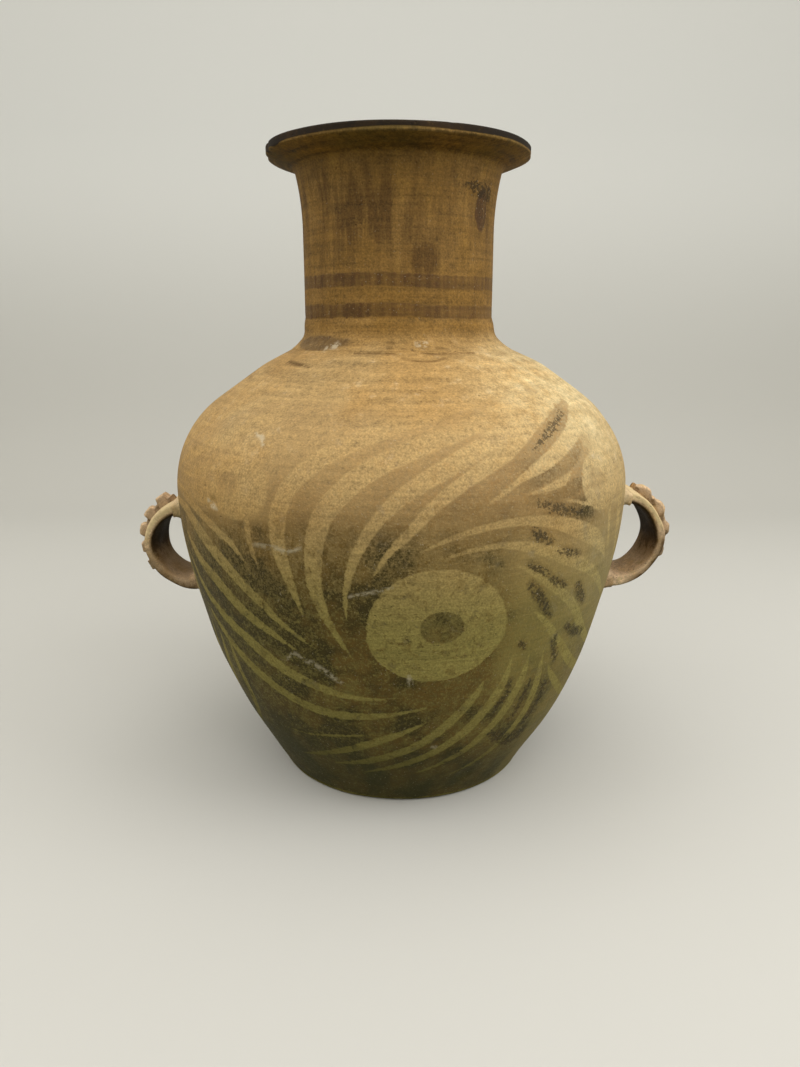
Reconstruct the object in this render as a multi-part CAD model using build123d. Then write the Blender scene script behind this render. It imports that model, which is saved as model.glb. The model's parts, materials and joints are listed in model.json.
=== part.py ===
from build123d import *
from typing import NamedTuple
import math
import os

# A coil-built storage jar: flat floor, wall raised in rings of clay, tall neck, everted rim
# and two loop handles that each carry a notched ridge.
# Millimetres. The origin is the middle of the foot on the ground, +Z is up, the handles lie along X.

# Body
FOOT_R = 80.0
FOOT_EDGE_R = 3.0
FLOOR_T = 10.0
WALL_T = 7.0
LOWER_H = 186.0
BELLY_R = 141.0
BELLY_ARC_R = 214.0
BELLY_ARC_DEG = 10.2
SHOULDER_H = 92.0
SHOULDER_ARC_R = 64.5

# Neck and rim
NECK_R = 57.6
NECK_H = 70.0
RIM_H = 33.5
RIM_REACH = 20.7
LIP_T = 5.0
LIP_ROUND_R = 1.3
UNDERSIDE_DEG = 20.0
UNDERSIDE_ROUND_R = 3.0
FLARE_R = 146.0
FLARE_REACH = 4.4
MOUTH_ROUND_R = 20.0

# Rings of clay and the slope of the lapped seams between them
LOWER_COILS = 4
SHOULDER_COILS = 3
NECK_COILS = 2
LAP_DEG = 35.0

# Coils of clay smoothed into the corners at the neck and at the floor: how far each reaches, and
# the share that it fills of the corner, where 1 would be a straight slope from edge to edge
NECK_COIL_RISE = 8.0
NECK_COIL_REACH = 18.0
NECK_COIL_FILL = 0.78
FLOOR_COIL_REACH = 12.0
FLOOR_COIL_FILL = 0.65
COIL_EDGE_T = 0.8

# Handles: level of each below the widest part, and mean radius of its loop
LEFT_HANDLE_DROP = 41.5
RIGHT_HANDLE_DROP = 37.0
LEFT_LOOP_R = 25.2
RIGHT_LOOP_R = 28.0
STRAP_T = 6.8
STRAP_W = 36.0
STRAP_ROUND_R = 3.0
SEAT_DEPTH = 2.5

# Notched ridge along the outside of each handle, with its upper end counted from the handle's middle
RIDGE_W = 13.0
RIDGE_T = 4.0
RIDGE_TOP_DEG = 76.0
LEFT_LOBES = 5
RIGHT_LOBES = 4
LEFT_LOBE_PITCH = 12.0
RIGHT_LOBE_PITCH = 15.0
LEFT_LOBE_R = 6.2
RIGHT_LOBE_R = 7.8
LOBE_H = 8.0

# Pads of clay that lute each handle end to the wall
PAD_MARGIN = 6.5
PAD_ROUND_R = 7.0
PAD_SINK = 6.0
PAD_H = 4.0
PAD_TAPER_DEG = 28.0

# Levels and radii that follow
NECK_BASE_Z = LOWER_H + SHOULDER_H
RIM_SEAM_Z = NECK_BASE_Z + NECK_H
TOP_Z = RIM_SEAM_Z + RIM_H
RIM_R = NECK_R + RIM_REACH
BORE_R = NECK_R - WALL_T

# A rounding takes at most this share of the wall that it lies on
ROUND_SHARE = 0.45


class HandleSizes(NamedTuple):
    """Sizes in which the two handles differ."""

    drop: float
    loop_r: float
    lobes: int
    lobe_pitch: float
    lobe_r: float


HANDLES = {
    "left": HandleSizes(LEFT_HANDLE_DROP, LEFT_LOOP_R, LEFT_LOBES, LEFT_LOBE_PITCH, LEFT_LOBE_R),
    "right": HandleSizes(
        RIGHT_HANDLE_DROP, RIGHT_LOOP_R, RIGHT_LOBES, RIGHT_LOBE_PITCH, RIGHT_LOBE_R
    ),
}


def polar(centre, radius, angle):
    """Point at an angle, in degrees, on a circle of the section."""
    turn = math.radians(angle)
    return centre + Vector(math.cos(turn), math.sin(turn)) * radius


# Arcs of the outer wall: the flank leaves the belly arc smoothly and ends at the foot
BELLY_CENTRE = Vector(BELLY_R - BELLY_ARC_R, LOWER_H)
FLANK_TOP = polar(BELLY_CENTRE, BELLY_ARC_R, -BELLY_ARC_DEG)
FLANK_CHORD = Vector(FOOT_R, 0) - FLANK_TOP
FLANK_INWARD = (BELLY_CENTRE - FLANK_TOP).normalized()
FLANK_ARC_R = FLANK_CHORD.dot(FLANK_CHORD) / (2 * FLANK_CHORD.dot(FLANK_INWARD))
FLANK_CENTRE = FLANK_TOP + FLANK_INWARD * FLANK_ARC_R

# The shoulder arc runs out in a straight cone that ends at the foot of the neck
SHOULDER_CENTRE = Vector(BELLY_R - SHOULDER_ARC_R, LOWER_H)
TO_NECK = Vector(NECK_R, NECK_BASE_Z) - SHOULDER_CENTRE
SHOULDER_DEG = math.degrees(
    math.atan2(TO_NECK.Y, TO_NECK.X) - math.acos(SHOULDER_ARC_R / TO_NECK.length)
)


def neck_corner(inset):
    """Corner between shoulder and neck at a depth below their outer faces."""
    normal = polar(Vector(0, 0), 1, SHOULDER_DEG)
    reach = SHOULDER_CENTRE.dot(normal) + SHOULDER_ARC_R - inset
    radius = NECK_R - inset
    return Vector(radius, (reach - radius * normal.X) / normal.Y)


def flank_deg(height, inset):
    """Angle on the flank arc, at a depth below the outer face, where it reaches a height."""
    return math.degrees(math.asin((height - FLANK_CENTRE.Y) / (FLANK_ARC_R - inset)))


def flank(inset, low_deg, high_deg):
    """Part of the flank arc, at a depth below the outer face."""
    return CenterArc(FLANK_CENTRE, FLANK_ARC_R - inset, low_deg, high_deg - low_deg)


def wall_outline(inset, low_z):
    """Lower and upper edges of the wall at a depth below its outer face, from a height upwards."""
    lower = [
        flank(inset, flank_deg(low_z, inset), -BELLY_ARC_DEG),
        CenterArc(BELLY_CENTRE, BELLY_ARC_R - inset, -BELLY_ARC_DEG, BELLY_ARC_DEG),
    ]
    shoulder = CenterArc(SHOULDER_CENTRE, SHOULDER_ARC_R - inset, 0, SHOULDER_DEG)
    upper = [shoulder, Line(shoulder @ 1, neck_corner(inset))]
    return lower, upper


def wall_slope(height):
    """Point of the outer wall at a height below the widest part, and how far it leans, in degrees."""
    drop = LOWER_H - height
    if drop < BELLY_ARC_R * math.sin(math.radians(BELLY_ARC_DEG)):
        centre, radius = BELLY_CENTRE, BELLY_ARC_R
    else:
        centre, radius = FLANK_CENTRE, FLANK_ARC_R
    lean = math.degrees(math.asin((centre.Y - height) / radius))
    return polar(centre, radius, -lean), lean


def turned(section):
    """Ring or disc made by turning a section round the jar's axis."""
    return revolve(Plane.XZ * section, Axis.Z)


def base_section():
    """Half section of the floor slab, with the rounded edge of the foot."""
    side = flank(0, flank_deg(0, 0), flank_deg(FLOOR_T, 0))
    slab = make_face([side, Polyline(side @ 1, (0, FLOOR_T), (0, 0), side @ 0)])
    foot_edge = slab.vertices().sort_by_distance((FOOT_R, 0))[0]
    return fillet(foot_edge, min(FOOT_EDGE_R, ROUND_SHARE * FLOOR_T))


def body_section():
    """Section of the wall from the floor slab to the foot of the neck."""
    outer = sum(wall_outline(0, FLOOR_T), [])
    inner = sum(wall_outline(WALL_T, FLOOR_T), [])
    floor_seam = Line(inner[0] @ 0, outer[0] @ 0)
    neck_seam = Line(outer[-1] @ 1, inner[-1] @ 1)
    return make_face(outer + inner + [floor_seam, neck_seam])


def underside_corner():
    """Corner where the flared neck meets the sloping underside of the rim."""
    drop = (RIM_REACH - FLARE_REACH) * math.tan(math.radians(UNDERSIDE_DEG))
    return Vector(NECK_R + FLARE_REACH, TOP_Z - LIP_T - drop)


def neck_outline(top_z):
    """Edges of the neck's outer face from the shoulder up: straight, then flared to a height."""
    corner = underside_corner()
    flare_rise = math.sqrt(FLARE_REACH * (2 * FLARE_R - FLARE_REACH))
    flare_centre = Vector(NECK_R + FLARE_R, corner.Y - flare_rise)
    flare_deg = math.degrees(math.asin((top_z - flare_centre.Y) / FLARE_R))
    flare = CenterArc(flare_centre, FLARE_R, 180, -flare_deg)
    return [Line(neck_corner(0), flare @ 0), flare]


def neck_section():
    """Section of the neck and the rim, from the shoulder to the flat top of the lip."""
    corner = underside_corner()
    outer = neck_outline(corner.Y)
    mouth_centre = Vector(BORE_R + MOUTH_ROUND_R, TOP_Z - MOUTH_ROUND_R)
    mouth = CenterArc(mouth_centre, MOUTH_ROUND_R, 90, 90)
    rim_top = Polyline(corner, (RIM_R, TOP_Z - LIP_T), (RIM_R, TOP_Z), mouth @ 0)
    inside = Polyline(mouth @ 1, neck_corner(WALL_T), neck_corner(0))
    section = make_face(outer + [rim_top, mouth, inside])
    section = fillet(section.vertices().sort_by_distance(corner)[0], UNDERSIDE_ROUND_R)
    lip_edges = section.vertices().sort_by(Axis.X)[-2:]
    return fillet(lip_edges, min(LIP_ROUND_R, ROUND_SHARE * LIP_T))


def seam(wire, share):
    """Point of a lapped seam on the outer face, at a share of its length, and its outward direction."""
    along = wire % share
    outward = Vector(along.Y, -along.X)
    return wire @ share, outward.rotate(Axis.Z, LAP_DEG)


def between(low, high):
    """Face that covers the wall from one seam to the next."""
    reach = 5 * WALL_T
    corners = [
        low[0] - low[1] * reach,
        low[0] + low[1] * reach,
        high[0] + high[1] * reach,
        high[0] - high[1] * reach,
    ]
    return make_face(Polyline(corners, close=True))


def coils(section, seams, names):
    """Rings that a section is built from, one between each two seams, by name."""
    return {
        name: turned(section & between(low, high))
        for name, low, high in zip(names, seams, seams[1:])
    }


def numbered(name, count):
    """Names of like pieces, counted from the bottom up."""
    return [f"{name}_{index}" for index in range(1, count + 1)]


def body_coils():
    """Rings of the lower wall and the shoulder, with a seam at the widest part."""
    lower, upper = (Wire(edges) for edges in wall_outline(0, FLOOR_T))
    level = Vector(1, 0)
    seams = [(Vector(FOOT_R, 0), level)]
    seams += [seam(lower, index / LOWER_COILS) for index in range(1, LOWER_COILS + 1)]
    seams += [seam(upper, index / SHOULDER_COILS) for index in range(1, SHOULDER_COILS)]
    seams += [(Vector(NECK_R, NECK_BASE_Z + WALL_T), level)]
    names = numbered("lower_wall_coil", LOWER_COILS) + numbered("shoulder_coil", SHOULDER_COILS)
    return coils(body_section(), seams, names)


def neck_coils():
    """Rings of the neck, and the rim above them."""
    outer = Wire(neck_outline(RIM_SEAM_Z))
    level = Vector(1, 0)
    seams = [(Vector(NECK_R, NECK_BASE_Z - 2 * WALL_T), level)]
    seams += [seam(outer, index / NECK_COILS) for index in range(1, NECK_COILS + 1)]
    seams += [(Vector(NECK_R, TOP_Z + WALL_T), level)]
    return coils(neck_section(), seams, numbered("neck_coil", NECK_COILS) + ["rim"])


def corner_coil(corner, sides, fill, *seats):
    """Coil smoothed into a corner: hollow in front, cut to the two faces that it lies against.

    Each side is a direction away from the corner and how far the coil reaches along it.
    """
    (first, first_reach), (second, second_reach) = sides
    middle = (first + second).normalized()
    slope_depth = 2 * first_reach * second_reach * middle.dot(first) / (first_reach + second_reach)
    edges, backs = [], []
    for along, reach in sides:
        away = (middle - along * middle.dot(along)).normalized()
        foot = corner + along * reach
        edges.append(foot + away * COIL_EDGE_T)
        backs.append(foot - away * (0.5 * WALL_T))
    hollow = ThreePointArc(edges[0], corner + middle * (fill * slope_depth), edges[1])
    behind = corner - middle * WALL_T
    face = make_face([hollow, Polyline(edges[1], backs[1], behind, backs[0], edges[0])])
    for seat in seats:
        face -= seat
    return turned(face)


def neck_joint_coil():
    """Coil round the outside of the neck joint, drawn further down the shoulder than up the neck."""
    downhill = polar(Vector(0, 0), 1, SHOULDER_DEG - 90)
    sides = [(Vector(0, 1), NECK_COIL_RISE), (downhill, NECK_COIL_REACH)]
    return corner_coil(neck_corner(0), sides, NECK_COIL_FILL, body_section(), neck_section())


def base_joint_coil():
    """Coil in the inner corner between floor and wall."""
    inner, _ = wall_outline(WALL_T, FLOOR_T)
    sides = [(inner[0] % 0, FLOOR_COIL_REACH), (Vector(-1, 0), FLOOR_COIL_REACH)]
    seats = body_section(), base_section()
    return corner_coil(inner[0] @ 0, sides, FLOOR_COIL_FILL, *seats)


def solid_jar(inset):
    """The jar filled solid, up to the foot of the neck, at a depth below its outer face."""
    outline = sum(wall_outline(inset, 0), [])
    top = outline[-1] @ 1
    return turned(make_face(outline + [Polyline(top, (0, top.Y), (0, 0), outline[0] @ 0)]))


def strap(loop_r):
    """Bent strip of a handle as a whole ring about the origin, in the XY plane."""
    section = RectangleRounded(STRAP_T, STRAP_W, min(STRAP_ROUND_R, ROUND_SHARE * STRAP_T))
    return revolve(Plane.XZ * (Pos(loop_r, 0) * section), Axis.Z)


def ridge(sizes):
    """Notched ridge on the outside of a handle's ring, in the XY plane."""
    strap_r = sizes.loop_r + STRAP_T / 2
    pitch = math.degrees(sizes.lobe_pitch / (strap_r + RIDGE_T))
    low = RIDGE_TOP_DEG - sizes.lobes * pitch
    strip_edge = CenterArc((0, 0), strap_r + RIDGE_T, low, RIDGE_TOP_DEG - low)
    face = make_face([strip_edge, Polyline(strip_edge @ 1, (0, 0), strip_edge @ 0)])
    for index in range(sizes.lobes):
        place = polar(Vector(0, 0), strap_r + LOBE_H - sizes.lobe_r, low + (index + 0.5) * pitch)
        face += Pos(place) * Circle(sizes.lobe_r)
    face -= Circle(strap_r)
    return extrude(face, RIDGE_W / 2, both=True)


def pad(loop_r, end):
    """Luting pad round one end of a handle, above (1) or below (-1) its middle."""
    depth = STRAP_T + 2 * PAD_MARGIN
    width = STRAP_W + 2 * PAD_MARGIN
    sketch = RectangleRounded(depth, width, min(PAD_ROUND_R, ROUND_SHARE * depth))
    seat = Plane(origin=(-PAD_SINK, end * loop_r, 0), x_dir=(0, 1, 0), z_dir=(1, 0, 0))
    return extrude(seat * sketch, PAD_SINK + PAD_H, taper=PAD_TAPER_DEG)


def handle(side, sizes):
    """The pieces of one handle, by name: strap, ridge and the two pads."""
    place, lean = wall_slope(LOWER_H - sizes.drop)
    outward = polar(Vector(0, 0), 1, -lean)
    loop_plane = Plane(
        origin=(place.X, 0, place.Y), x_dir=(outward.X, 0, outward.Y), z_dir=(0, -1, 0)
    )
    ring = loop_plane * strap(sizes.loop_r)
    jar = solid_jar(0)
    pieces = {"strap": ring - solid_jar(SEAT_DEPTH)}
    for name, end in (("upper_pad", 1), ("lower_pad", -1)):
        pieces[name] = loop_plane * pad(sizes.loop_r, end) - jar - ring
    pieces["ridge"] = loop_plane * ridge(sizes) - pieces["upper_pad"] - pieces["lower_pad"] - jar
    turn = Rot(0, 0, 180 if side == "left" else 0)
    return {f"{side}_handle_{name}": turn * solid for name, solid in pieces.items()}


def jar_pieces():
    """Every piece of the jar by name."""
    pieces = {"base_disc": turned(base_section()), "base_joint_coil": base_joint_coil()}
    pieces |= body_coils()
    pieces |= neck_coils()
    pieces["neck_joint_coil"] = neck_joint_coil()
    for side, sizes in HANDLES.items():
        parts = handle(side, sizes)
        for name in numbered("lower_wall_coil", LOWER_COILS):
            pieces[name] -= parts[f"{side}_handle_strap"]
        pieces |= parts
    return pieces


os.makedirs("parts", exist_ok=True)
for piece_name, piece in jar_pieces().items():
    export_step(piece, f"parts/{piece_name}.step")
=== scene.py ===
import json
import math

import bpy
import numpy as np
from bpy.props import FloatProperty, FloatVectorProperty, IntProperty, PointerProperty
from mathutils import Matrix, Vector


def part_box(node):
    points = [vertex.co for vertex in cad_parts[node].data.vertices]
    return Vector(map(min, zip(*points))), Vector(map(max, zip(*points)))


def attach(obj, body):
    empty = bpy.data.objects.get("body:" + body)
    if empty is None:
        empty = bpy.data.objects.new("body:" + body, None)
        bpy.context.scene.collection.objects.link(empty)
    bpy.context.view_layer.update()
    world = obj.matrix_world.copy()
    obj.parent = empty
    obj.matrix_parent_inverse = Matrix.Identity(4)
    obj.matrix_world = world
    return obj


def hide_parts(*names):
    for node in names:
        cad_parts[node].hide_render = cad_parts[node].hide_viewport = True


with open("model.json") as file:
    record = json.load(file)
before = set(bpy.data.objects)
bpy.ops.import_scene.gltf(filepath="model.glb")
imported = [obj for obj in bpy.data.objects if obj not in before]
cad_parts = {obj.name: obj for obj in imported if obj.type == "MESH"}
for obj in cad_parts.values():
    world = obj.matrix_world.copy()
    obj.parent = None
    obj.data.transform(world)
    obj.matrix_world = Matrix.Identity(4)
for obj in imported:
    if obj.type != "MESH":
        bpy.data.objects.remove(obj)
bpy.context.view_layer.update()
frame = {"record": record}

bl_info = {
    "name": "Painted storage jar",
    "version": (1, 0, 0),
    "blender": (4, 5, 0),
    "location": "3D View > Sidebar > Jar",
    "description": "Coil-built clay jar with a whirl painting and two notched loop handles",
    "category": "Add Mesh",
}

MM = 0.001

# Rings of clay from the floor to the rim, in the order in which they were raised
WALL_RINGS = [f"lower_wall_coil_{index}" for index in range(1, 5)]
WALL_RINGS += [f"shoulder_coil_{index}" for index in range(1, 4)]
NECK_RINGS = ["neck_coil_1", "neck_coil_2"]
RING_ORDER = ["base_disc"] + WALL_RINGS + NECK_RINGS + ["rim"]


def node_low(node):
    """Height of a construction piece's lowest point."""
    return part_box(node)[0].z


def node_high(node):
    """Height of a construction piece's highest point."""
    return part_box(node)[1].z


def node_reach(node):
    """Largest radius of a turned construction piece."""
    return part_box(node)[1].y


BORE_RADIUS = next(
    mount["dims"]["r_mm"] for mount in frame["record"]["mounts"] if mount["name"] == "mouth"
) * MM


def length(name, text, value):
    """Property for a length, in metres."""
    return FloatProperty(name=name, description=text, default=value, min=0.0, unit="LENGTH", precision=4)


def turn(name, text, degrees):
    """Property for an angle, with its default in degrees."""
    return FloatProperty(name=name, description=text, default=math.radians(degrees), subtype="ANGLE")


def share(name, text, value):
    """Property for a part of a whole, from 0 to 1."""
    return FloatProperty(name=name, description=text, default=value, min=0.0, max=1.0, subtype="FACTOR")


def colour(name, text, value):
    """Property for a colour, in linear light."""
    return FloatVectorProperty(
        name=name, description=text, default=value, size=3, min=0.0, max=1.0, subtype="COLOR"
    )


def power(name, text, watts):
    """Property for the power of a lamp, in watts."""
    return FloatProperty(name=name, description=text, default=watts, min=0.0)


class JarSizes(bpy.types.PropertyGroup):
    """Sizes of the floor, wall, neck and rim."""

    foot_radius: length("Foot radius", "Edge of the flat foot", 0.080)
    foot_round: length("Foot rounding", "Rounding of the worn foot edge", 0.003)
    floor: length("Floor", "Thickness of the floor slab", node_high("base_disc"))
    belly_radius: length("Belly radius", "Widest part", node_reach("lower_wall_coil_4"))
    belly_height: length("Belly height", "Level of the widest part", node_high("lower_wall_coil_4"))
    belly_arc: length("Belly arc", "Radius of the curve below the widest part", 0.214)
    belly_turn: turn("Belly turn", "How far the belly curve turns", 10.2)
    shoulder_arc: length("Shoulder arc", "Radius of the curve of the shoulder", 0.0645)
    neck_base: length("Neck base", "Level where the neck leaves the shoulder", node_high("shoulder_coil_3"))
    neck_radius: length("Neck radius", "Outside of the neck", node_reach("neck_coil_1"))
    neck_lean: length("Neck lean", "How far the neck stands to the left of the foot", 0.0019)
    flank_full: length("Flank fullness", "How much fuller the lower wall is than a true arc", 0.0014)
    flank_lean: length("Flank lean", "How far the lowest wall leans to the right", 0.0008)
    shoulder_full: length("Shoulder fullness", "How much fuller the shoulder is on the right", 0.0024)
    joint_hollow: length("Joint hollow", "How far the neck joint is drawn in", 0.0056)
    wall: length("Wall", "Thickness of the wall", node_reach("neck_coil_1") - BORE_RADIUS)
    rim_radius: length("Rim radius", "Outer edge of the lip", node_reach("rim"))
    rim_top: length("Rim top", "Level of the top of the lip", node_high("rim"))
    lip: length("Lip", "Thickness of the lip's edge", 0.005)
    lip_round: length("Lip rounding", "Rounding of the lip's edge", 0.0013)
    flare: length("Flare", "Radius of the curve in which the neck opens out", 0.146)
    flare_reach: length("Flare reach", "How far the neck opens out below the rim", 0.0044)
    underside: turn("Underside", "Slope of the underside of the rim", 20.0)
    underside_round: length("Underside rounding", "Softness of the corner under the rim", 0.0025)
    mouth_round: length("Mouth rounding", "Radius of the curve from the lip into the neck", 0.020)
    joint_rise: length("Joint rise", "How far the coil at the neck joint runs up the neck", 0.008)
    joint_reach: length("Joint reach", "How far the coil at the neck joint runs down the shoulder", 0.018)
    joint_fill: share("Joint fill", "How full the coil at the neck joint is", 0.78)
    floor_reach: length("Floor coil reach", "How far the coil in the floor corner runs each way", 0.012)
    floor_fill: share("Floor coil fill", "How full the coil in the floor corner is", 0.65)
    lumps: length("Lumps", "Depth of the unevenness left by the hands", 0.0007)
    steps: IntProperty(name="Steps", description="Facets round the jar", default=720, min=48)
    row: length("Row", "Spacing of the rows of points on the outside", 0.0013)
    inner_row: length("Inner row", "Spacing of the rows of points on the inside", 0.005)


class HandleSizes(bpy.types.PropertyGroup):
    """Sizes of the two loop handles."""

    left_level: length("Left level", "Height of the left handle's middle", 0.1445)
    right_level: length("Right level", "Height of the right handle's middle", 0.149)
    left_loop: length("Left loop", "Mean radius of the left loop", 0.0252)
    right_loop: length("Right loop", "Mean radius of the right loop", 0.028)
    thickness: length("Thickness", "Thickness of the strap", 0.0068)
    width: length("Width", "Width of the strap", 0.036)
    root_swell: length("Root swell", "How much thicker the strap is at the wall", 0.003)
    ridge_width: length("Ridge width", "Width of the notched ridge", 0.013)
    ridge_height: length("Ridge height", "Height of a tooth above the strap", 0.008)
    left_notch: length("Left notch", "Depth of the cut notches between the left teeth", 0.0036)
    right_notch: length("Right notch", "Depth of the pressed notches between the right lobes", 0.0026)
    ridge_top: turn("Ridge top", "Upper end of the ridge, from the handle's middle", 76.0)
    left_teeth: IntProperty(name="Left teeth", description="Teeth on the left ridge", default=5, min=1)
    right_teeth: IntProperty(name="Right teeth", description="Lobes on the right ridge", default=4, min=1)
    left_pitch: length("Left pitch", "Spacing of the left teeth", 0.012)
    right_pitch: length("Right pitch", "Spacing of the right lobes", 0.015)
    pad_reach: length("Pad reach", "How far the luting clay runs out on the wall", 0.0065)
    pad_height: length("Pad height", "How far the luting clay climbs the strap", 0.006)


class JarColours(bpy.types.PropertyGroup):
    """Colours of the clay, the paint and the wear, some of which also stand in for light and shade."""

    tan: colour("Tan clay", "Slipped clay of the shoulder", (0.51, 0.335, 0.137))
    orange: colour("Orange clay", "Warmer fired patches", (0.50, 0.295, 0.098))
    # The olive of the lower wall is partly the clay's duller colour and partly painted shade and painted
    # green bounce light.
    olive: colour("Olive clay", "Duller clay of the lower wall", (0.36, 0.285, 0.085))
    neck: colour("Neck clay", "Browner clay of the neck", (0.27, 0.146, 0.034))
    umber: colour("Umber stain", "Stains that have run down the neck", (0.110, 0.056, 0.015))
    maroon: colour("Maroon paint", "Redder paint of the bands on the neck", (0.084, 0.040, 0.013))
    rust: colour("Rust paint", "What is left of faded paint on the shoulder", (0.290, 0.168, 0.060))
    # Bloom is partly paler, dusty clay and partly a painted sheen on the sides that face the light; on the
    # handles it is a painted highlight.
    bloom: colour("Bloom", "Paler clay of the right side of the shoulder", (0.70, 0.55, 0.29))
    brown: colour("Brown paint", "Thin paint of the whirl", (0.125, 0.073, 0.017))
    dark: colour("Dark paint", "Thick paint", (0.035, 0.025, 0.005))
    black: colour("Black flecks", "Remains of the thickest paint", (0.030, 0.024, 0.014))
    lip: colour("Lip paint", "Thick paint on the lip", (0.014, 0.008, 0.003))
    pale: colour("Pale wear", "Bare chips and scratches", (0.60, 0.50, 0.34))
    handle: colour("Handle clay", "Pinker unpainted clay", (0.64, 0.45, 0.27))
    # Soot also serves as painted shade under the rim and near the ground.
    soot: colour("Soot", "Dirt in corners and at the foot", (0.048, 0.046, 0.010))


class StageSettings(bpy.types.PropertyGroup):
    """Camera, lights and floor."""

    camera_distance: length("Camera distance", "From the jar's axis, level", 0.515)
    camera_height: length("Camera height", "Above the floor", 0.280)
    camera_tilt: turn("Camera tilt", "Downward tilt of the camera", 14.37)
    lens: FloatProperty(name="Lens", description="Focal length for a 36 mm frame", default=27.03, min=1.0)
    camera_left: length("Camera left", "How far the camera stands to the left of the axis", 0.00095)
    floor: colour("Floor", "Pale floor and backdrop", (0.60, 0.59, 0.555))
    bounce: colour("Bounce", "What the floor throws back up on the jar", (0.030, 0.060, 0.022))
    wall_glow: share("Wall glow", "How much the backdrop is lit by itself", 0.45)
    sky: colour("Sky", "Soft light from all round", (0.93, 0.90, 0.82))
    sky_strength: share("Sky strength", "Level of the light from all round", 0.92)
    key_power: power("Key power", "Overhead soft box", 3.0)
    front_power: power("Front power", "Soft box above the camera", 3.0)
    right_power: power("Right power", "Soft box on the right", 4.8)
    left_power: power("Left power", "Soft box on the left", 3.0)


# The painting: spots are given as degrees round the jar from its front, towards the right handle,
# and millimetres above the ground, and a stroke's half width, in millimetres, goes with each spot.

UNIT_TURNS = (-270.0, -180.0, -90.0, 0.0, 90.0, 180.0)
LEFT_TURN = -90.0
ROUNDEL = (7.8, 132.2)
ROUNDEL_HALF = (37.6, 32.8)
DOT = (8.8, 132.2)
DOT_HALF = (11.7, 9.5)
UPPER_ROUNDEL = (-38.0, 200.0)
UPPER_ROUNDEL_HALF = (22.0, 16.0)
UPPER_DOT = (-41.0, 201.5)
UPPER_DOT_HALF = (7.5, 6.5)

# Bare strokes that rise on the left of the roundel and sweep over it to the right
RISING_STROKES = [
    [(-11.4, 112.5, 0.2), (-14.4, 125, 1.6), (-17.2, 140, 2.9), (-18.6, 154, 4),
     (-18.4, 168, 4.8), (-17.8, 180, 5.2), (-15.6, 193, 5.6), (-12.6, 202, 5.6), (-7, 213, 5.2),
     (2, 222.5, 4.6), (14, 231, 4), (27, 239, 3.4), (40, 246, 2.8)],
    [(-12, 137, 0.2), (-12, 146, 1.1), (-11.4, 157, 1.8), (-10, 168, 2.4), (-7.6, 180, 2.9),
     (-5.2, 189, 3.3), (-1, 199.5, 4), (5, 209, 4.4), (14, 219.5, 4.4), (25, 230, 4),
     (38, 239, 3.4), (50, 246, 2.6)],
    [(-5.9, 161, 0.2), (-4, 169, 1.3), (-1.4, 177, 2), (2.2, 186, 2.6), (6, 196, 3.2),
     (11, 205, 3.5), (17, 213, 3.6), (25, 221.5, 3.6), (34, 230, 3.4), (44, 238, 3),
     (54, 245, 2.2)],
    [(17.4, 196.5, 0.2), (22.5, 203, 1.7), (28, 209, 3), (34, 215.5, 4.2), (40, 222, 5),
     (48, 229.5, 5), (57, 237, 3.4)],
    [(26.3, 199.6, 0.2), (31, 201, 1.5), (35.5, 203, 2.4), (38.5, 205.5, 1.6),
     (40.5, 208.5, 0.3)],
    [(34.5, 196, 0.2), (39, 193.5, 0.9), (43, 191, 1.1), (48, 187.5, 0.4)],
]
# Bare strokes that leave the top and right of a roundel and run down under the next one
FALLING_STROKES = [
    [(3.6, 174.4, 0.2), (9.5, 180.5, 1.3), (15.5, 184.5, 1.7), (22.4, 186.8, 2.1),
     (29, 186.2, 2.8), (35.8, 182.5, 3.8), (42.5, 176.5, 5), (49, 169.5, 5), (54, 161, 2.8),
     (57, 153, 0.2)],
    [(8, 170.3, 0.2), (13.5, 173.8, 1.1), (19.5, 175.4, 1.6), (24, 174.6, 2.2), (28, 172.4, 2.8),
     (32.4, 169, 3.4), (38, 163.5, 4), (46, 155, 3.6), (54, 144, 2.8), (62, 130, 1.8),
     (70, 116, 0.2)],
    [(24, 165, 0.2), (30, 157, 1.8), (37, 146, 2.8), (45, 132, 3), (52, 116, 3.2), (60, 102, 3),
     (68, 92.5, 2.6), (78, 88, 1.8), (89, 88.7, 0.2)],
    [(30, 138, 0.2), (36, 126, 2), (43, 110, 2.8), (50, 96, 3.2), (57, 85, 3.2), (65, 77, 3),
     (75, 74, 2.6), (86, 76, 1.8), (97, 81, 0.2)],
    [(41, 97, 0.2), (45, 86, 2), (52, 73, 2.6), (60, 62, 2.4), (68, 55.5, 1.4), (75, 53, 0.3)],
]
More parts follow.
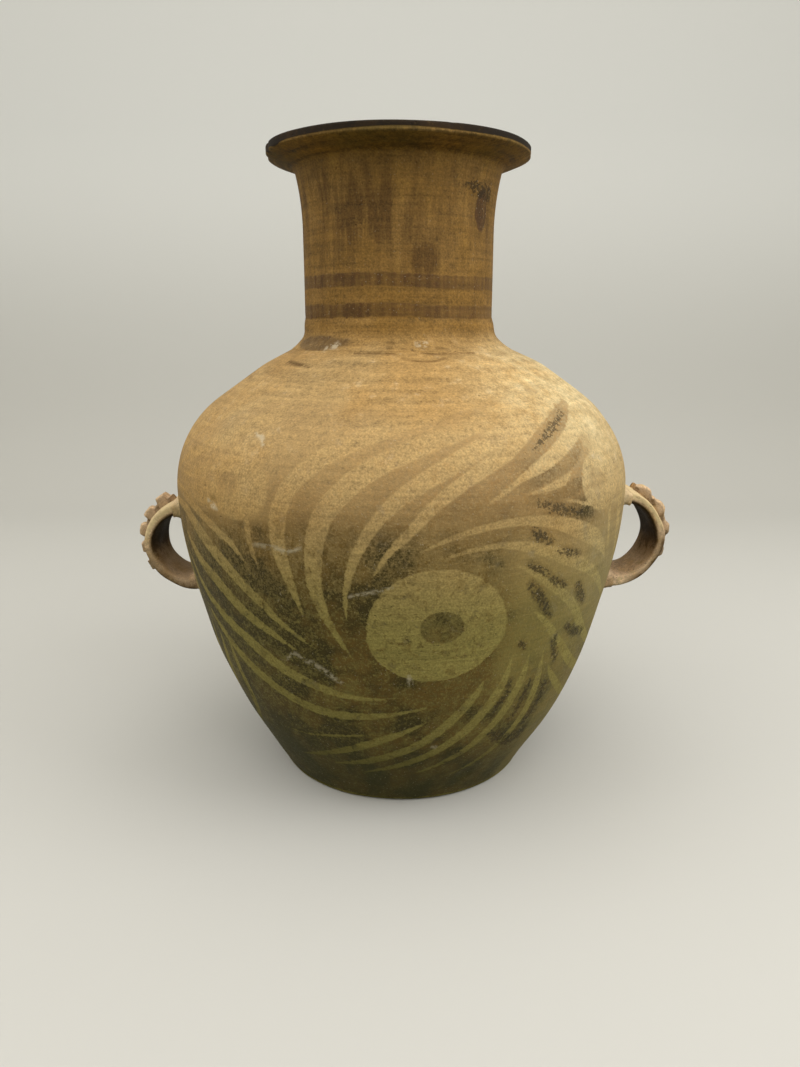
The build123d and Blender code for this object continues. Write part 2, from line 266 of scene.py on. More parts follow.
# The same strokes as they come in from the left of the front roundel, where the brush went wider
LEFT_STROKES = [
    [(-35.7, 160.5, 0.2), (-38, 166, 1.5), (-40.3, 171, 2), (-44, 175, 2.4), (-50, 181, 2.6),
     (-58, 187, 2.8), (-67, 190, 2.6), (-75, 188, 2), (-81, 184, 1.4), (-86.4, 174.4, 0.2)],
    [(-19.6, 116, 0.2), (-25.1, 123.8, 1.3), (-29.6, 131, 2.2), (-33, 138.8, 2.9),
     (-37.3, 146, 3.4), (-41, 152.8, 3.8), (-45.7, 161, 4.3), (-50.1, 167.5, 4.4),
     (-55.7, 175, 4.2), (-61, 180, 3.2), (-70, 180, 2), (-77, 175, 1.2), (-82, 170, 0.2)],
    [(-25.5, 113.5, 0.2), (-30.7, 120, 2), (-35.1, 125, 3), (-40.1, 131, 3.6), (-45.7, 140, 4.2),
     (-49.6, 146, 4.4), (-54, 151, 4), (-58.4, 157.5, 3), (-63, 165, 1)],
    [(-0.9, 88.7, 0.2), (-6.5, 87.5, 1), (-13, 88, 1.6), (-18.6, 90.2, 2.4), (-24.2, 93.8, 3),
     (-29.6, 98.1, 3.5), (-34, 103, 3.8), (-38, 108, 4), (-42, 113, 3.8), (-46.4, 118, 3.6),
     (-51.5, 124, 3.4), (-57, 132, 3), (-62, 143, 2), (-66, 156, 0.2)],
    [(6.9, 82, 0.2), (0, 78.2, 1.2), (-6.5, 75.5, 2), (-13, 74, 2.8), (-18.6, 74, 3),
     (-24.2, 75.6, 3), (-29.8, 79, 3), (-35.3, 84, 3.2), (-40, 89.5, 3.3), (-45, 96, 3.2),
     (-50, 104, 3), (-55.7, 113, 2.4), (-60, 124, 0.2)],
    [(-7.5, 61, 0.2), (-15, 58.5, 0.7), (-23, 55.5, 0.9), (-30, 53, 0.7), (-38, 52, 0.2)],
]
# Bare strokes that run down from the right and bottom of the roundel and turn left at the foot
FOOT_STROKES = [
    [(20.8, 97, 0.2), (19.2, 88, 2.2), (14.8, 74, 3), (9.2, 60.5, 3), (3, 51, 2.8),
     (-4.5, 43.5, 2.6), (-12, 37.5, 2.2), (-24, 31, 0.4)],
    [(27.8, 110, 0.2), (27, 97, 2), (25.4, 86, 2.9), (22.8, 75, 3.3), (19.5, 64, 3.2),
     (14.5, 53.5, 2.8), (7, 43, 2.4), (-3, 34, 1.8), (-13, 27, 0.4)],
    [(33, 108, 0.2), (32.6, 95, 2.2), (31.2, 82, 3), (29, 69, 3), (25.4, 57, 2.8), (20, 45, 2.3),
     (12.5, 35, 1.5), (4, 27.5, 0.3)],
    [(38, 107, 0.2), (38.6, 92, 2.2), (38.9, 78, 2.8), (38.2, 64, 2.8), (35, 49.5, 2.6),
     (30.5, 38.5, 2), (24, 29, 1.2), (16, 22, 0.3)],
    [(6.7, 71, 0.2), (1, 64, 1.8), (-5.5, 57.5, 2.5), (-13, 50, 2.5), (-21, 43, 2),
     (-30, 36, 1.3), (-38, 31, 0.3)],
]
# Bare strokes beside and under the upper roundel
HANGING_STROKES = [
    [(-22.2, 136, 0.2), (-23.4, 147, 2), (-25, 160, 3.4), (-26.3, 172, 4.3), (-26.5, 184, 5),
     (-25.4, 196, 5), (-22.5, 208, 4.8), (-16, 220, 4.6), (-6, 230, 4.2), (8, 239, 3.6),
     (22, 246, 3)],
    [(-32, 157, 0.2), (-33.3, 167, 1.4), (-34.2, 177, 1.8), (-34.4, 187, 1.8)],
]
REPEATED_STROKES = RISING_STROKES + FOOT_STROKES + HANGING_STROKES

# Dark strokes that stay strong on the faded shoulder
SHOULDER_STROKES = [
    [(8, 192, 2), (14, 200.5, 3.2), (22, 209.5, 3.8), (30, 219.5, 4.4), (36, 226, 4.6),
     (42, 231.5, 4.2), (48, 236.5, 3), (54, 240.5, 0.6)],
    [(20, 197, 1.2), (26, 203.5, 2.2), (33.6, 207.8, 2.7), (38, 211, 2.7), (42, 214.5, 2.4),
     (47, 221, 1)],
    [(24, 196, 2.4), (32, 197, 3), (38, 199, 3.2), (42, 202, 2.4)],
]
# Black flecks of thick paint, most of them at the right of the front roundel
FLECK_STROKES = [
    [(28.5, 180.5, 2.2), (31, 177, 3), (33.2, 174.2, 1.6)],
    [(36, 168, 1.2), (40, 165, 2), (43, 162.5, 1.2)],
    [(28, 163, 1), (31, 159, 2), (33.5, 155.5, 1.4)],
    [(34, 153, 1.4), (36.5, 150, 2.2), (40, 146, 1)],
    [(29, 152, 1.8), (32, 144, 3), (35, 135, 2.2), (37, 129, 1)],
    [(29, 196, 1), (33, 192, 2.4), (38, 189, 2), (43, 186, 1)],
    [(45, 144, 2.2), (47, 138, 3), (50, 131, 1.4)],
    [(45, 118, 2), (50, 112, 3.4), (56, 108, 2.4)],
    [(41, 113, 2), (42.5, 104, 2.8), (44, 97, 1.8)],
    [(29.5, 116, 2.2), (30.6, 113, 1.4)],
    [(28.5, 93, 1.6), (28.5, 84, 2), (26, 74, 1.8)],
    [(35.5, 88, 1.8), (35, 76, 2.2), (33, 64, 2)],
    [(42.5, 84, 2.2), (43, 70, 2.4), (40, 56, 2.4)],
    [(27, 55, 2.4), (33, 48, 4.4), (38, 44, 5.4), (42, 47, 4.4)],
    [(8.2, 123.4, 0.8), (8.5, 122.6, 0.6)],
    [(31, 220.5, 1), (36, 226.5, 1.8), (42, 231.5, 1.6), (48, 236.5, 0.8)],
    [(36, 356.5, 0.8), (44, 355.5, 3), (52, 354, 4.2), (60, 353, 3.4)],
]
# Pale scratches through the paint
SCRATCHES = [
    [(-30.6, 106, 0.3), (-28.6, 107.5, 0.5), (-26.6, 111.5, 0.4), (-24.8, 109.6, 0.4),
     (-23, 106.8, 0.3)],
    [(-22.4, 108, 0.5), (-19.5, 104, 1), (-17, 100, 0.9), (-15, 97, 0.4)],
    [(-33, 172.6, 0.2), (-27, 172.4, 0.4), (-24.5, 171.4, 0.7), (-21, 173.8, 0.2)],
    [(-11, 150, 0.3), (-6, 153, 0.3), (-2, 155.5, 0.2)],
    [(-47.5, 191, 0.5), (-45.5, 188, 1), (-44, 187.5, 0.5)],
    [(-37, 227, 0.4), (-34.5, 226, 0.8), (-33, 222, 0.4)],
    [(48, 213.5, 0.3), (51, 213, 0.5), (53, 212, 0.3)],
    [(1.6, 103, 0.6), (2, 100, 0.8), (2.4, 96, 0.2)],
    [(9, 51.5, 0.3), (10, 50.5, 0.8)],
    [(7, 271.5, 0.3), (10, 271, 1), (13, 272, 0.3)],
    [(-40, 269, 0.8), (-36, 270.5, 1.4), (-33, 270, 0.6)],
]
# Hairline cracks along the lower edge of the neck joint
CRACKS = [
    [(-22, 266.7, 0.1), (-12, 266.9, 0.3), (-3, 266.4, 0.1)],
    [(0, 264.2, 0.1), (6, 262.9, 0.15), (13, 262.8, 0.2), (19, 264.3, 0.1)],
    [(9, 267, 0.1), (14, 266.4, 0.3), (24, 266.5, 0.2), (36, 266.6, 0.1)],
    [(-7, 269.2, 0.1), (-4, 269, 0.1)],
    [(-7, 272.6, 0.1), (-4, 272.3, 0.1)],
    [(17, 269, 0.1), (21, 269, 0.1)],
    [(23, 271.4, 0.1), (27, 272, 0.2)],
    [(29, 271.3, 0.1), (33, 271.6, 0.1)],
    [(-54, 261.4, 0.6), (-43, 260.2, 0.5), (-37, 259, 0.1)],
]
# Heights of the two bands round the neck
NECK_BANDS = [(285.6, 292.8), (301.9, 309.0)]
# Blots on the neck: middle, half sizes in millimetres
NECK_BLOTS = [
    ((53.0, 344.0), (5.6, 11.0)),
    ((-49.0, 271.6), (24.0, 3.9)),
]
# Chips and dents pressed into the clay: middle, half size and depth in millimetres
CHIPS = [
    ((-45.5, 190.5), 3.4, 1.1),
    ((-35.0, 205.0), 5.0, 0.35),
    ((-12.0, 165.0), 6.0, 0.3),
    ((9.0, 124.0), 1.6, 0.8),
    ((47.0, 119.0), 4.0, 0.5),
    ((24.0, 20.0), 7.0, 0.7),
    ((-150.0, 160.0), 4.5, 0.9),
    ((160.0, 80.0), 6.0, 0.7),
    ((118.0, 225.0), 3.5, 0.8),
    ((-118.0, 60.0), 5.0, 0.6),
]
# Stains of the neck: middle, and half sizes in millimetres
NECK_STAIN = ((-22.0, 336.0), (16.0, 14.0))
NECK_SMUDGE = ((13.0, 316.0), (9.0, 9.5))
# Nicks in the lip: degrees round the jar, half width in degrees and depth in millimetres
LIP_NICKS = [
    (-86.0, 4.0, 1.0),
    (-71.0, 2.0, 0.8),
    (83.0, 3.0, 0.9),
    (150.0, 5.0, 1.1),
    (21.0, 1.5, 0.5),
    (-160.0, 3.0, 0.8),
    (112.0, 2.0, 0.7),
]
# Drips of the lip's paint and the smudge under it: degrees, half width and height, as for the nicks
LIP_DRIPS = [(-72.0, 4.0, 2.5), (-60.0, 6.0, 1.6)]
LIP_SMUDGE = [(3.5, 11.0, 0.3)]
# Levels between which the body is painted, and over which the neck takes over from the shoulder
PAINT_LEVELS = (3.0, 238.0)
NECK_STARTS = (268.0, 274.0)

# Levels, in millimetres, over which an unevenness of the wall climbs and then fades out again
FLANK_STRETCH = (15.0, 50.0, 78.0, 118.0)
FLANK_LEAN_STRETCH = (8.0, 40.0, 55.0, 100.0)
SHOULDER_STRETCH = (224.0, 248.0, 258.0, 274.0)
JOINT_STRETCH = (257.0, 271.0, 273.5, 285.0)
NECK_LEAN_STRETCH = (258.0, 292.0)

# How far a strap runs each way from the handle's middle, and where it starts to thicken
STRAP_HALF_TURN = math.radians(97.0)
STRAP_ROOT = math.radians(48.0)
STRAP_STEPS = 110
# The left ridge is cut into teeth and the right one pressed into lobes
RIDGE_STEPS = 168
RIDGE_SQUARENESS = {"left": 4.0, "right": 3.0}
NOTCH_EDGES = {"left": (-0.15, 0.55), "right": (-0.9, 1.0)}

# Distances to an edge of the painting are held to this many millimetres
FAR = 6.0
SAMPLES_PER_SPAN = 5
WALL_SAMPLES = 600

# Noises that several finishes share: scale, detail and roughness
PATCH = (46.0, 4.0)
GRAIN = (330.0, 4.0, 0.65)
FINE = (950.0, 3.0, 0.6)
# Sockets of a Mix node that mixes colours
MIX_FACTOR, MIX_FIRST, MIX_SECOND, MIX_RESULT = 0, 6, 7, 2

# Soft boxes: name, place, the point it is aimed at, size, and the setting that holds its power
LAMPS = [
    ("overhead", (0.10, -0.15, 1.30), (0.0, -0.02, 0.2), 1.0, "key_power"),
    ("front", (0.20, -1.00, 0.80), (0.0, 0.0, 0.2), 1.0, "front_power"),
    ("right_side", (0.92, -0.35, 0.80), (0.0, 0.0, 0.22), 0.7, "right_power"),
    ("left_side", (-0.95, -0.20, 0.85), (0.0, 0.0, 0.20), 0.9, "left_power"),
]
FLOOR_SIZE = 6.0
FLOOR_MIDDLE = (0.0, -1.6, 0.0)
BACKDROP_HEIGHT = 3.0
BACKDROP_SWEEP = 0.7


def ease(value, low, high):
    """Smooth climb from 0 to 1 as a value goes from low to high."""
    part = np.clip((value - low) / (high - low), 0.0, 1.0)
    return part * part * (3.0 - 2.0 * part)


def hump(value, low, full, leave, high):
    """Smooth climb from 0 to 1 and back to 0 as a value goes from low to high."""
    return ease(value, low, full) * (1.0 - ease(value, leave, high))


def bumps(angle, spots):
    """Soft bumps round the jar, each with its middle, half width and height."""
    return sum(tall * np.exp(-((angle - middle) / half) ** 2) for middle, half, tall in spots)


def waves(angle, height, seed, turns, rise, count=7):
    """Smooth random field of about unit depth that closes up round the jar."""
    rng = np.random.default_rng(seed)
    field = np.zeros_like(angle)
    for _ in range(count):
        round_jar = rng.integers(-turns, turns + 1)
        up_jar = rng.uniform(-1.0, 1.0) * 2 * math.pi / rise
        field += np.sin(round_jar * np.radians(angle) + up_jar * height + rng.uniform(0, 2 * math.pi))
    return field / math.sqrt(count / 2)


def smooth_line(spots):
    """Smooth line through a stroke's spots, with its half width along it."""
    spots = np.array(spots, float)
    ends = np.vstack([2 * spots[0] - spots[1], spots, 2 * spots[-1] - spots[-2]])
    parts = np.linspace(0, 1, SAMPLES_PER_SPAN, endpoint=False)[:, None]
    line = []
    for before, start, end, after in zip(ends, ends[1:], ends[2:], ends[3:]):
        leave, arrive = (end - before) / 2, (after - start) / 2
        bend, swell = 3 * (end - start) - 2 * leave - arrive, 2 * (start - end) + leave + arrive
        line.append(start + parts * (leave + parts * (bend + parts * swell)))
    return np.vstack(line + [spots[-1:]])


def beyond_stroke(angle, height, scale, line):
    """Distance, in millimetres, from each spot to the edge of a stroke, below zero inside it."""
    best = np.full(angle.shape, FAR)
    for start, end in zip(line, line[1:]):
        run, rise = (end[0] - start[0]) * scale, end[1] - start[1]
        across, up = (angle - start[0]) * scale, height - start[1]
        part = np.clip((across * run + up * rise) / (run * run + rise * rise), 0.0, 1.0)
        half = start[2] + part * (end[2] - start[2])
        best = np.minimum(best, np.hypot(across - part * run, up - part * rise) - half)
    return best


def beyond_strokes(angle, height, scale, strokes, turns=(0.0,)):
    """Distance to the nearest of several strokes, which may be repeated round the jar."""
    best = np.full(angle.shape, FAR)
    for spots in strokes:
        line = smooth_line(spots)
        margin = line[:, 2].max() + FAR
        low, high = line[:, :2].min(0), line[:, :2].max(0)
        for shift in turns:
            first, last = low[0] + shift - margin / scale, high[0] + shift + margin / scale
            near = (angle > first) & (angle < last)
            near = near & (height > low[1] - margin) & (height < high[1] + margin)
            if near.any():
                reach = beyond_stroke(angle[near] - shift, height[near], scale[near], line)
                best[near] = np.minimum(best[near], reach)
    return best


def beyond_oval(angle, height, scale, middle, half):
    """Distance, in millimetres, from each spot to the edge of an oval, below zero inside it."""
    across, up = (angle - middle[0]) * scale / half[0], (height - middle[1]) / half[1]
    return np.clip((np.hypot(across, up) - 1.0) * min(half), -FAR, FAR)


class Painting:
    """What the brush and the years left at spots on the outside of the jar, with painted shade near the
    ground and under the rim.
    """

    def __init__(self, angle, height, radius):
        self.angle = angle
        self.height = height
        self.scale = np.radians(1.0) * radius
        self.front = 1.0 - ease(np.abs(angle - ROUNDEL[0]), 58.0, 85.0)
        self.on_neck = ease(height, *NECK_STARTS)

    def uneven(self):
        """Angle and height for the whirl's copies, which are a little uneven away from the front."""
        away = 1.0 - self.front
        angle = self.angle + away * 2.5 * waves(self.angle, self.height, 11, 3, 200.0)
        return angle, self.height + away * 4.0 * waves(self.angle, self.height, 12, 3, 220.0)

    def beyond(self, strokes):
        """Distance outside strokes that aren't repeated."""
        return beyond_strokes(self.angle, self.height, self.scale, strokes)

    def beyond_spot(self, middle, half):
        """Distance outside an oval that isn't repeated."""
        return beyond_oval(self.angle, self.height, self.scale, middle, half)

    def beyond_ovals(self, middle, half):
        """Distance outside the copies of an oval."""
        angle, height = self.uneven()
        wobble = 1.0 + 0.02 * waves(self.angle, self.height, 21, 9, 60.0)
        scale = self.scale / wobble
        copies = [(middle[0] + turned, middle[1]) for turned in UNIT_TURNS]
        return np.min([beyond_oval(angle, height, scale, spot, half) for spot in copies], axis=0)

    def bare(self):
        """Distance outside the bare strokes and roundels of the whirl."""
        angle, height = self.uneven()
        others = [turned for turned in UNIT_TURNS if turned != LEFT_TURN]
        return np.minimum.reduce([
            beyond_strokes(angle, height, self.scale, REPEATED_STROKES, UNIT_TURNS),
            beyond_strokes(angle, height, self.scale, FALLING_STROKES, others),
            beyond_strokes(angle, height, self.scale, LEFT_STROKES),
            self.beyond_ovals(ROUNDEL, ROUNDEL_HALF),
            self.beyond_ovals(UPPER_ROUNDEL, UPPER_ROUNDEL_HALF),
        ])

    def shoulder_strokes(self):
        """Distance outside the strong dark strokes of the shoulder."""
        return beyond_strokes(*self.uneven(), self.scale, SHOULDER_STROKES, UNIT_TURNS)

    def body_paint(self):
        """Signed depth into the painted ground of the body, above zero where there is paint."""
        low, top = PAINT_LEVELS
        top = top + 5.0 * waves(self.angle, self.height, 31, 5, 400.0)
        ground = np.minimum(top - self.height, self.height - low)
        paint = np.minimum(self.bare(), ground)
        marks = [
            self.beyond_ovals(DOT, DOT_HALF),
            self.beyond_ovals(UPPER_DOT, UPPER_DOT_HALF),
            self.shoulder_strokes(),
        ]
        return np.maximum(paint, -np.minimum.reduce(marks))

    def neck_paint(self):
        """Signed depth into the bands of the neck."""
        wobble = 0.35 * waves(self.angle, self.height, 41, 6, 90.0)
        paint = np.full(self.angle.shape, -FAR)
        for low, high in NECK_BANDS:
            band = np.minimum(self.height + wobble - low, high - self.height - wobble)
            paint = np.maximum(paint, band)
        return paint

    def blots(self):
        """Distance outside the blots on the neck and its joint."""
        return np.min([self.beyond_spot(*blot) for blot in NECK_BLOTS], axis=0)

    def paint(self):
        """Signed depth into any paint, in millimetres."""
        paint = np.where(self.on_neck > 0.5, self.neck_paint(), self.body_paint())
        return np.clip(np.maximum(paint, -self.blots()), -FAR, FAR)

    def kept(self):
        """Share of the paint that the years have left."""
        angle, height = self.angle, self.height
        fade = 180.0 + 16.0 * ease(angle, -27.0, 0.0) + 3.0 * waves(angle, height, 52, 6, 90.0)
        faded = 1.0 - 0.22 * ease(height, 125.0, 175.0)
        faded = faded - 0.18 * ease(height, fade - 8.0, fade + 14.0)
        faded = faded - 0.34 * ease(height, fade + 14.0, fade + 48.0)
        upper_left = (1.0 - ease(angle, -36.0, -26.0)) * ease(height, 182.0, 189.0) * self.front
        upper_right = ease(angle, 45.0, 54.0) * ease(height, 174.0, 188.0) * self.front
        faded = faded * (1.0 - 0.75 * np.maximum(upper_left, upper_right))
        right = hump(angle, 16.0, 30.0, 72.0, 95.0)
        low_wear = np.maximum(0.2 + 0.8 * ease(height, 62.0, 112.0), 0.8 * ease(angle, 41.0, 48.0))
        worn = right * low_wear * (1.0 - ease(height, 172.0, 186.0))
        patchy = 0.5 + 0.5 * np.clip(waves(angle, height, 51, 9, 60.0), -1.0, 1.0)
        kept = faded * (1.0 - 0.56 * worn) * (0.84 + 0.16 * patchy)
        strong = hump(angle, -6.0, 8.0, 48.0, 66.0)
        strong = strong * (0.46 + 0.05 * (1.0 - ease(height, 212.0, 222.0)) * ease(angle, 22.0, 30.0))
        kept = np.maximum(kept, (0.20 + strong) * (self.shoulder_strokes() < 1.0))
        remains = 1.0 - ease(self.beyond(FLECK_STROKES), -0.5, 6.0)
        kept = np.maximum(kept, 0.62 * remains * (height < 200.0))
        kept = np.where(self.beyond_ovals(DOT, DOT_HALF) < 1.5, 0.66, kept)
        kept = np.where(self.beyond_ovals(UPPER_DOT, UPPER_DOT_HALF) < 1.0, 0.30, kept)
        bands = 0.60 - 0.16 * ease(angle, -5.0, 30.0) * self.front + 0.10 * patchy
        kept = np.where(self.on_neck > 0.5, bands, kept)
        return np.where(self.blots() < 1.0, np.where(height > 300.0, 1.0, 0.72), kept)

    def flecks(self):
        """Likelihood of black flecks, strongest along the strokes with thick remains."""
        along = 1.0 - ease(self.beyond(FLECK_STROKES), -1.6, 4.2)
        elsewhere = 0.28 * ease(waves(self.angle, self.height, 61, 8, 70.0), 0.5, 1.4)
        elsewhere = elsewhere * (self.height < 190.0)
        return np.maximum(along, elsewhere * (1.0 - 0.7 * self.front))

    def scratches(self):
        """Share of pale scratch at each spot."""
        return 1.0 - ease(self.beyond(SCRATCHES), -0.2, 1.1)

    def cracks(self):
        """Share of hairline crack at each spot."""
        return 1.0 - ease(self.beyond(CRACKS), -0.4, 0.9)

    def stain(self):
        """Brown staining that runs down the neck, with painted shade under the rim, and painted shade near
        the ground.
        """
        left = 1.0 - ease(self.angle, -30.0, 40.0)
        blotch = 1.0 - ease(self.beyond_spot(*NECK_STAIN), -8.0, 4.0)
        smudge = 1.0 - ease(self.beyond_spot(*NECK_SMUDGE), -6.0, 2.5)
        # The stain grows darker towards the rim and on the left: partly runs of stain, partly painted shade
        # under the rim.
        upper = ease(self.height, 300.0, 345.0) * (1.0 - 0.75 * ease(self.height, 360.0, 371.0))
        neck = 0.10 + 0.18 * ease(self.height, 280.0, 300.0)
        neck = neck + (0.35 + 0.2 * left) * upper + 0.3 * blotch + 0.9 * smudge
        # Painted shade near the ground, reaching higher on the left and weaker on the right.
        low = 1.0 - ease(self.height - 18.0 * (1.0 - ease(self.angle, -55.0, 0.0)), 14.0, 65.0)
        low = low * (1.0 - 0.65 * ease(self.angle, 38.0, 48.0) * self.front)
        return np.where(self.on_neck > 0.5, neck, low)


class WallCurve:
    """Half section of the jar's wall, from the ground to the rim, at any depth below its face."""

    def __init__(self, sizes):
        self.sizes = sizes
        slope = sizes.belly_turn
        self.belly_centre = np.array([sizes.belly_radius - sizes.belly_arc, sizes.belly_height])
        flank_top = self.belly_centre + sizes.belly_arc * np.array([math.cos(slope), -math.sin(slope)])
        chord = np.array([sizes.foot_radius, 0.0]) - flank_top
        inward = np.array([-math.cos(slope), math.sin(slope)])
        self.flank_arc = chord @ chord / (2 * chord @ inward)
        self.flank_centre = flank_top + inward * self.flank_arc
        self.shoulder_centre = np.array([sizes.belly_radius - sizes.shoulder_arc, sizes.belly_height])
        to_neck = np.array([sizes.neck_radius, sizes.neck_base]) - self.shoulder_centre
        meet = math.acos(sizes.shoulder_arc / np.hypot(*to_neck))
        self.shoulder_turn = math.atan2(to_neck[1], to_neck[0]) - meet
        self.shoulder_normal = np.array([math.cos(self.shoulder_turn), math.sin(self.shoulder_turn)])
        corner_reach = sizes.neck_radius + sizes.flare_reach
        drop = (sizes.rim_radius - corner_reach) * math.tan(sizes.underside)
        self.rim_corner = np.array([corner_reach, sizes.rim_top - sizes.lip - drop])
        flare_rise = math.sqrt(sizes.flare_reach * (2 * sizes.flare - sizes.flare_reach))
        self.flare_low = self.rim_corner[1] - flare_rise

    def cone(self, height, depth):
        """Radius of the straight upper shoulder."""
        reach = self.shoulder_centre @ self.shoulder_normal + self.sizes.shoulder_arc - depth
        return (reach - height * self.shoulder_normal[1]) / self.shoulder_normal[0]

    def neck(self, height, depth):
        """Radius of the neck, which opens out below the rim on its outer face only."""
        rise = np.clip(height - self.flare_low, 0.0, self.sizes.flare)
        opened = self.sizes.flare - np.sqrt(self.sizes.flare**2 - rise * rise)
        return self.sizes.neck_radius - depth + opened * (1.0 - min(depth / self.sizes.wall, 1.0))

    @staticmethod
    def arc(centre, radius, height):
        """Radius of a round stretch of the wall."""
        rise = np.clip((height - centre[1]) / radius, -1.0, 1.0)
        return centre[0] + radius * np.sqrt(1.0 - rise * rise)

    def radius(self, height, depth=0.0):
        """Radius of the wall at a height."""
        sizes = self.sizes
        height = np.asarray(height, float)
        cone = self.cone(height, depth)
        neck = self.neck(height, depth)
        shoulder_arc, belly_arc = sizes.shoulder_arc - depth, sizes.belly_arc - depth
        stretches = [
            cone <= neck,
            height >= sizes.belly_height + shoulder_arc * self.shoulder_normal[1],
            height >= sizes.belly_height,
            height >= sizes.belly_height - belly_arc * math.sin(sizes.belly_turn),
        ]
        radii = [
            neck,
            cone,
            self.arc(self.shoulder_centre, shoulder_arc, height),
            self.arc(self.belly_centre, belly_arc, height),
        ]
        return np.select(stretches, radii, self.arc(self.flank_centre, self.flank_arc - depth, height))

    def rows(self, low, high, spacing, depth=0.0):
        """Points of the section from one level to another, evenly spaced along the wall."""
        height = np.linspace(low, high, WALL_SAMPLES)
        radius = self.radius(height, depth)
        run = np.concatenate([[0.0], np.cumsum(np.hypot(np.diff(radius), np.diff(height)))])
        even = np.linspace(0.0, run[-1], max(2, round(run[-1] / spacing)) + 1)
        level = np.interp(even, run, height)
        return np.column_stack([self.radius(level, depth), level])


def straight(start, end, spacing):
    """Points strictly between two points of a section."""
    start, end = np.asarray(start), np.asarray(end)
    count = int(np.hypot(*(end - start)) / spacing)
    parts = np.linspace(0, 1, count + 2)[1:-1, None]
    return start + parts * (end - start)


def bow(centre, radius, first, last, spacing):
    """Points of an arc of a section between two angles in degrees, ends included."""
    count = max(3, round(abs(math.radians(last - first)) * radius / spacing))
    turn_angles = np.radians(np.linspace(first, last, count + 1))
    return np.asarray(centre) + radius * np.column_stack([np.cos(turn_angles), np.sin(turn_angles)])


def chain(points, spacing):
    """Points of a section through its corners, with evenly spaced points between them."""
    parts = []
    for start, end in zip(points, points[1:]):
        parts += [[start], straight(start, end, spacing)]
    return np.vstack(parts + [[points[-1]]])


def start_piece(name, points, closed=True):
    """New piece with only a loop or a chain of points, ready to be turned."""
    bpy.ops.object.select_all(action="DESELECT")
    bpy.ops.mesh.primitive_circle_add(vertices=len(points), radius=1.0, fill_type="NOTHING")
    piece = bpy.context.object
    piece.name = piece.data.name = name
    piece.data.vertices.foreach_set("co", np.asarray(points, float).ravel())
    if not closed:
        last = len(points) - 1
        for edge in piece.data.edges:
            edge.select = set(edge.vertices) == {0, last}
        for vertex in piece.data.vertices:
            vertex.select = False
        bpy.ops.object.mode_set(mode="EDIT")
        bpy.ops.mesh.select_mode(type="EDGE")
        bpy.ops.mesh.delete(type="EDGE")
        bpy.ops.mesh.select_mode(type="VERT")
        bpy.ops.object.mode_set(mode="OBJECT")
    return piece


def sweep(piece, axis, angle, steps):
    """Turns a piece's loop of points round an axis through the origin."""
    screw = piece.modifiers.new("turning", "SCREW")
    screw.axis = axis
    screw.angle = angle
    screw.steps = screw.render_steps = steps
    screw.use_normal_calculate = True
    bpy.ops.object.modifier_apply(modifier=screw.name)


def close_up(fill=False):
    """Merges the active piece's doubled points, fills open ends and turns every face outwards."""
    bpy.ops.object.mode_set(mode="EDIT")
    bpy.ops.mesh.select_all(action="SELECT")
    bpy.ops.mesh.remove_doubles(threshold=1e-6)
    if fill:
        bpy.ops.mesh.fill_holes(sides=0)
    bpy.ops.mesh.normals_make_consistent(inside=False)
    bpy.ops.object.mode_set(mode="OBJECT")


def spots_of(piece):
    """Places of a piece's points."""
    places = np.empty(len(piece.data.vertices) * 3)
    piece.data.vertices.foreach_get("co", places)
    return places.reshape(-1, 3)


def move_spots(piece, places):
    """Gives a piece's points new places."""
    piece.data.vertices.foreach_set("co", np.ascontiguousarray(places).ravel())
    piece.data.update()


def jar_angle(places):
    """Degrees round the jar from its front, towards the right handle."""
    return np.degrees(np.arctan2(places[:, 0], -places[:, 1]))


def jar_radius(places):
    """Distance from the jar's axis."""
    return np.hypot(places[:, 0], places[:, 1])


def hand_worked(places, sizes, outside):
    """Places moved inwards as uneven hand work, dents and chips leave them, with the leaning neck."""
    angle, radius, height = jar_angle(places), jar_radius(places), places[:, 2] / MM
    broad = waves(angle, height, 71, 3, 260.0)
    close = waves(angle, height, 72, 14, 45.0)
    inward = sizes.lumps * (0.42 + 0.30 * np.clip(broad, -1.6, 1.6) + 0.06 * close)
    scale = np.radians(1.0) * radius / MM
    for (chip_angle, chip_height), half, depth in CHIPS:
        away = np.hypot((angle - chip_angle) * scale, height - chip_height) / half
        inward = inward + outside * depth * MM * (1.0 - ease(away, 0.35, 1.0))
    steady = ease(height, 0.0, 14.0)
    fuller = sizes.flank_full * hump(height, *FLANK_STRETCH)
    on_right = np.clip(np.sin(np.radians(angle)), 0.0, 1.0) ** 2
    fuller = fuller + sizes.shoulder_full * on_right * hump(height, *SHOULDER_STRETCH)
    drawn_in = sizes.joint_hollow * hump(height, *JOINT_STRETCH)
    wider = 1.0 + (fuller - drawn_in - np.clip(inward * steady, 0.0, None)) / np.maximum(radius, 0.02)
    moved = places * np.column_stack([wider, wider, np.ones_like(wider)])
    moved[:, 0] -= sizes.neck_lean * ease(height, *NECK_LEAN_STRETCH)
    moved[:, 0] += sizes.flank_lean * hump(height, *FLANK_LEAN_STRETCH)
    return moved


def note(piece, name, values):
    """Keeps a number for each of a piece's points, for its finish to read."""
    attribute = piece.data.attributes.new(name, "FLOAT", "POINT")
    attribute.data.foreach_set("value", np.asarray(values, np.float32))


def paint_piece(piece, outside):
    """Keeps the painting, the wear and the painted shade of the outside on a piece's points."""
    places = spots_of(piece)
    radius = np.maximum(jar_radius(places) / MM, 20.0)
    painting = Painting(jar_angle(places), places[:, 2] / MM, radius)
    note(piece, "paint", np.where(outside, painting.paint(), -FAR))
    for wear in (painting.kept, painting.flecks, painting.scratches, painting.cracks, painting.stain):
        note(piece, wear.__name__, wear() * outside)


def smooth_faces(piece, degrees=40.0):
    """Smooth shading, with the sharper edges kept."""
    bpy.ops.object.select_all(action="DESELECT")
    piece.select_set(True)
    bpy.context.view_layer.objects.active = piece
    bpy.ops.object.shade_smooth_by_angle(angle=math.radians(degrees))


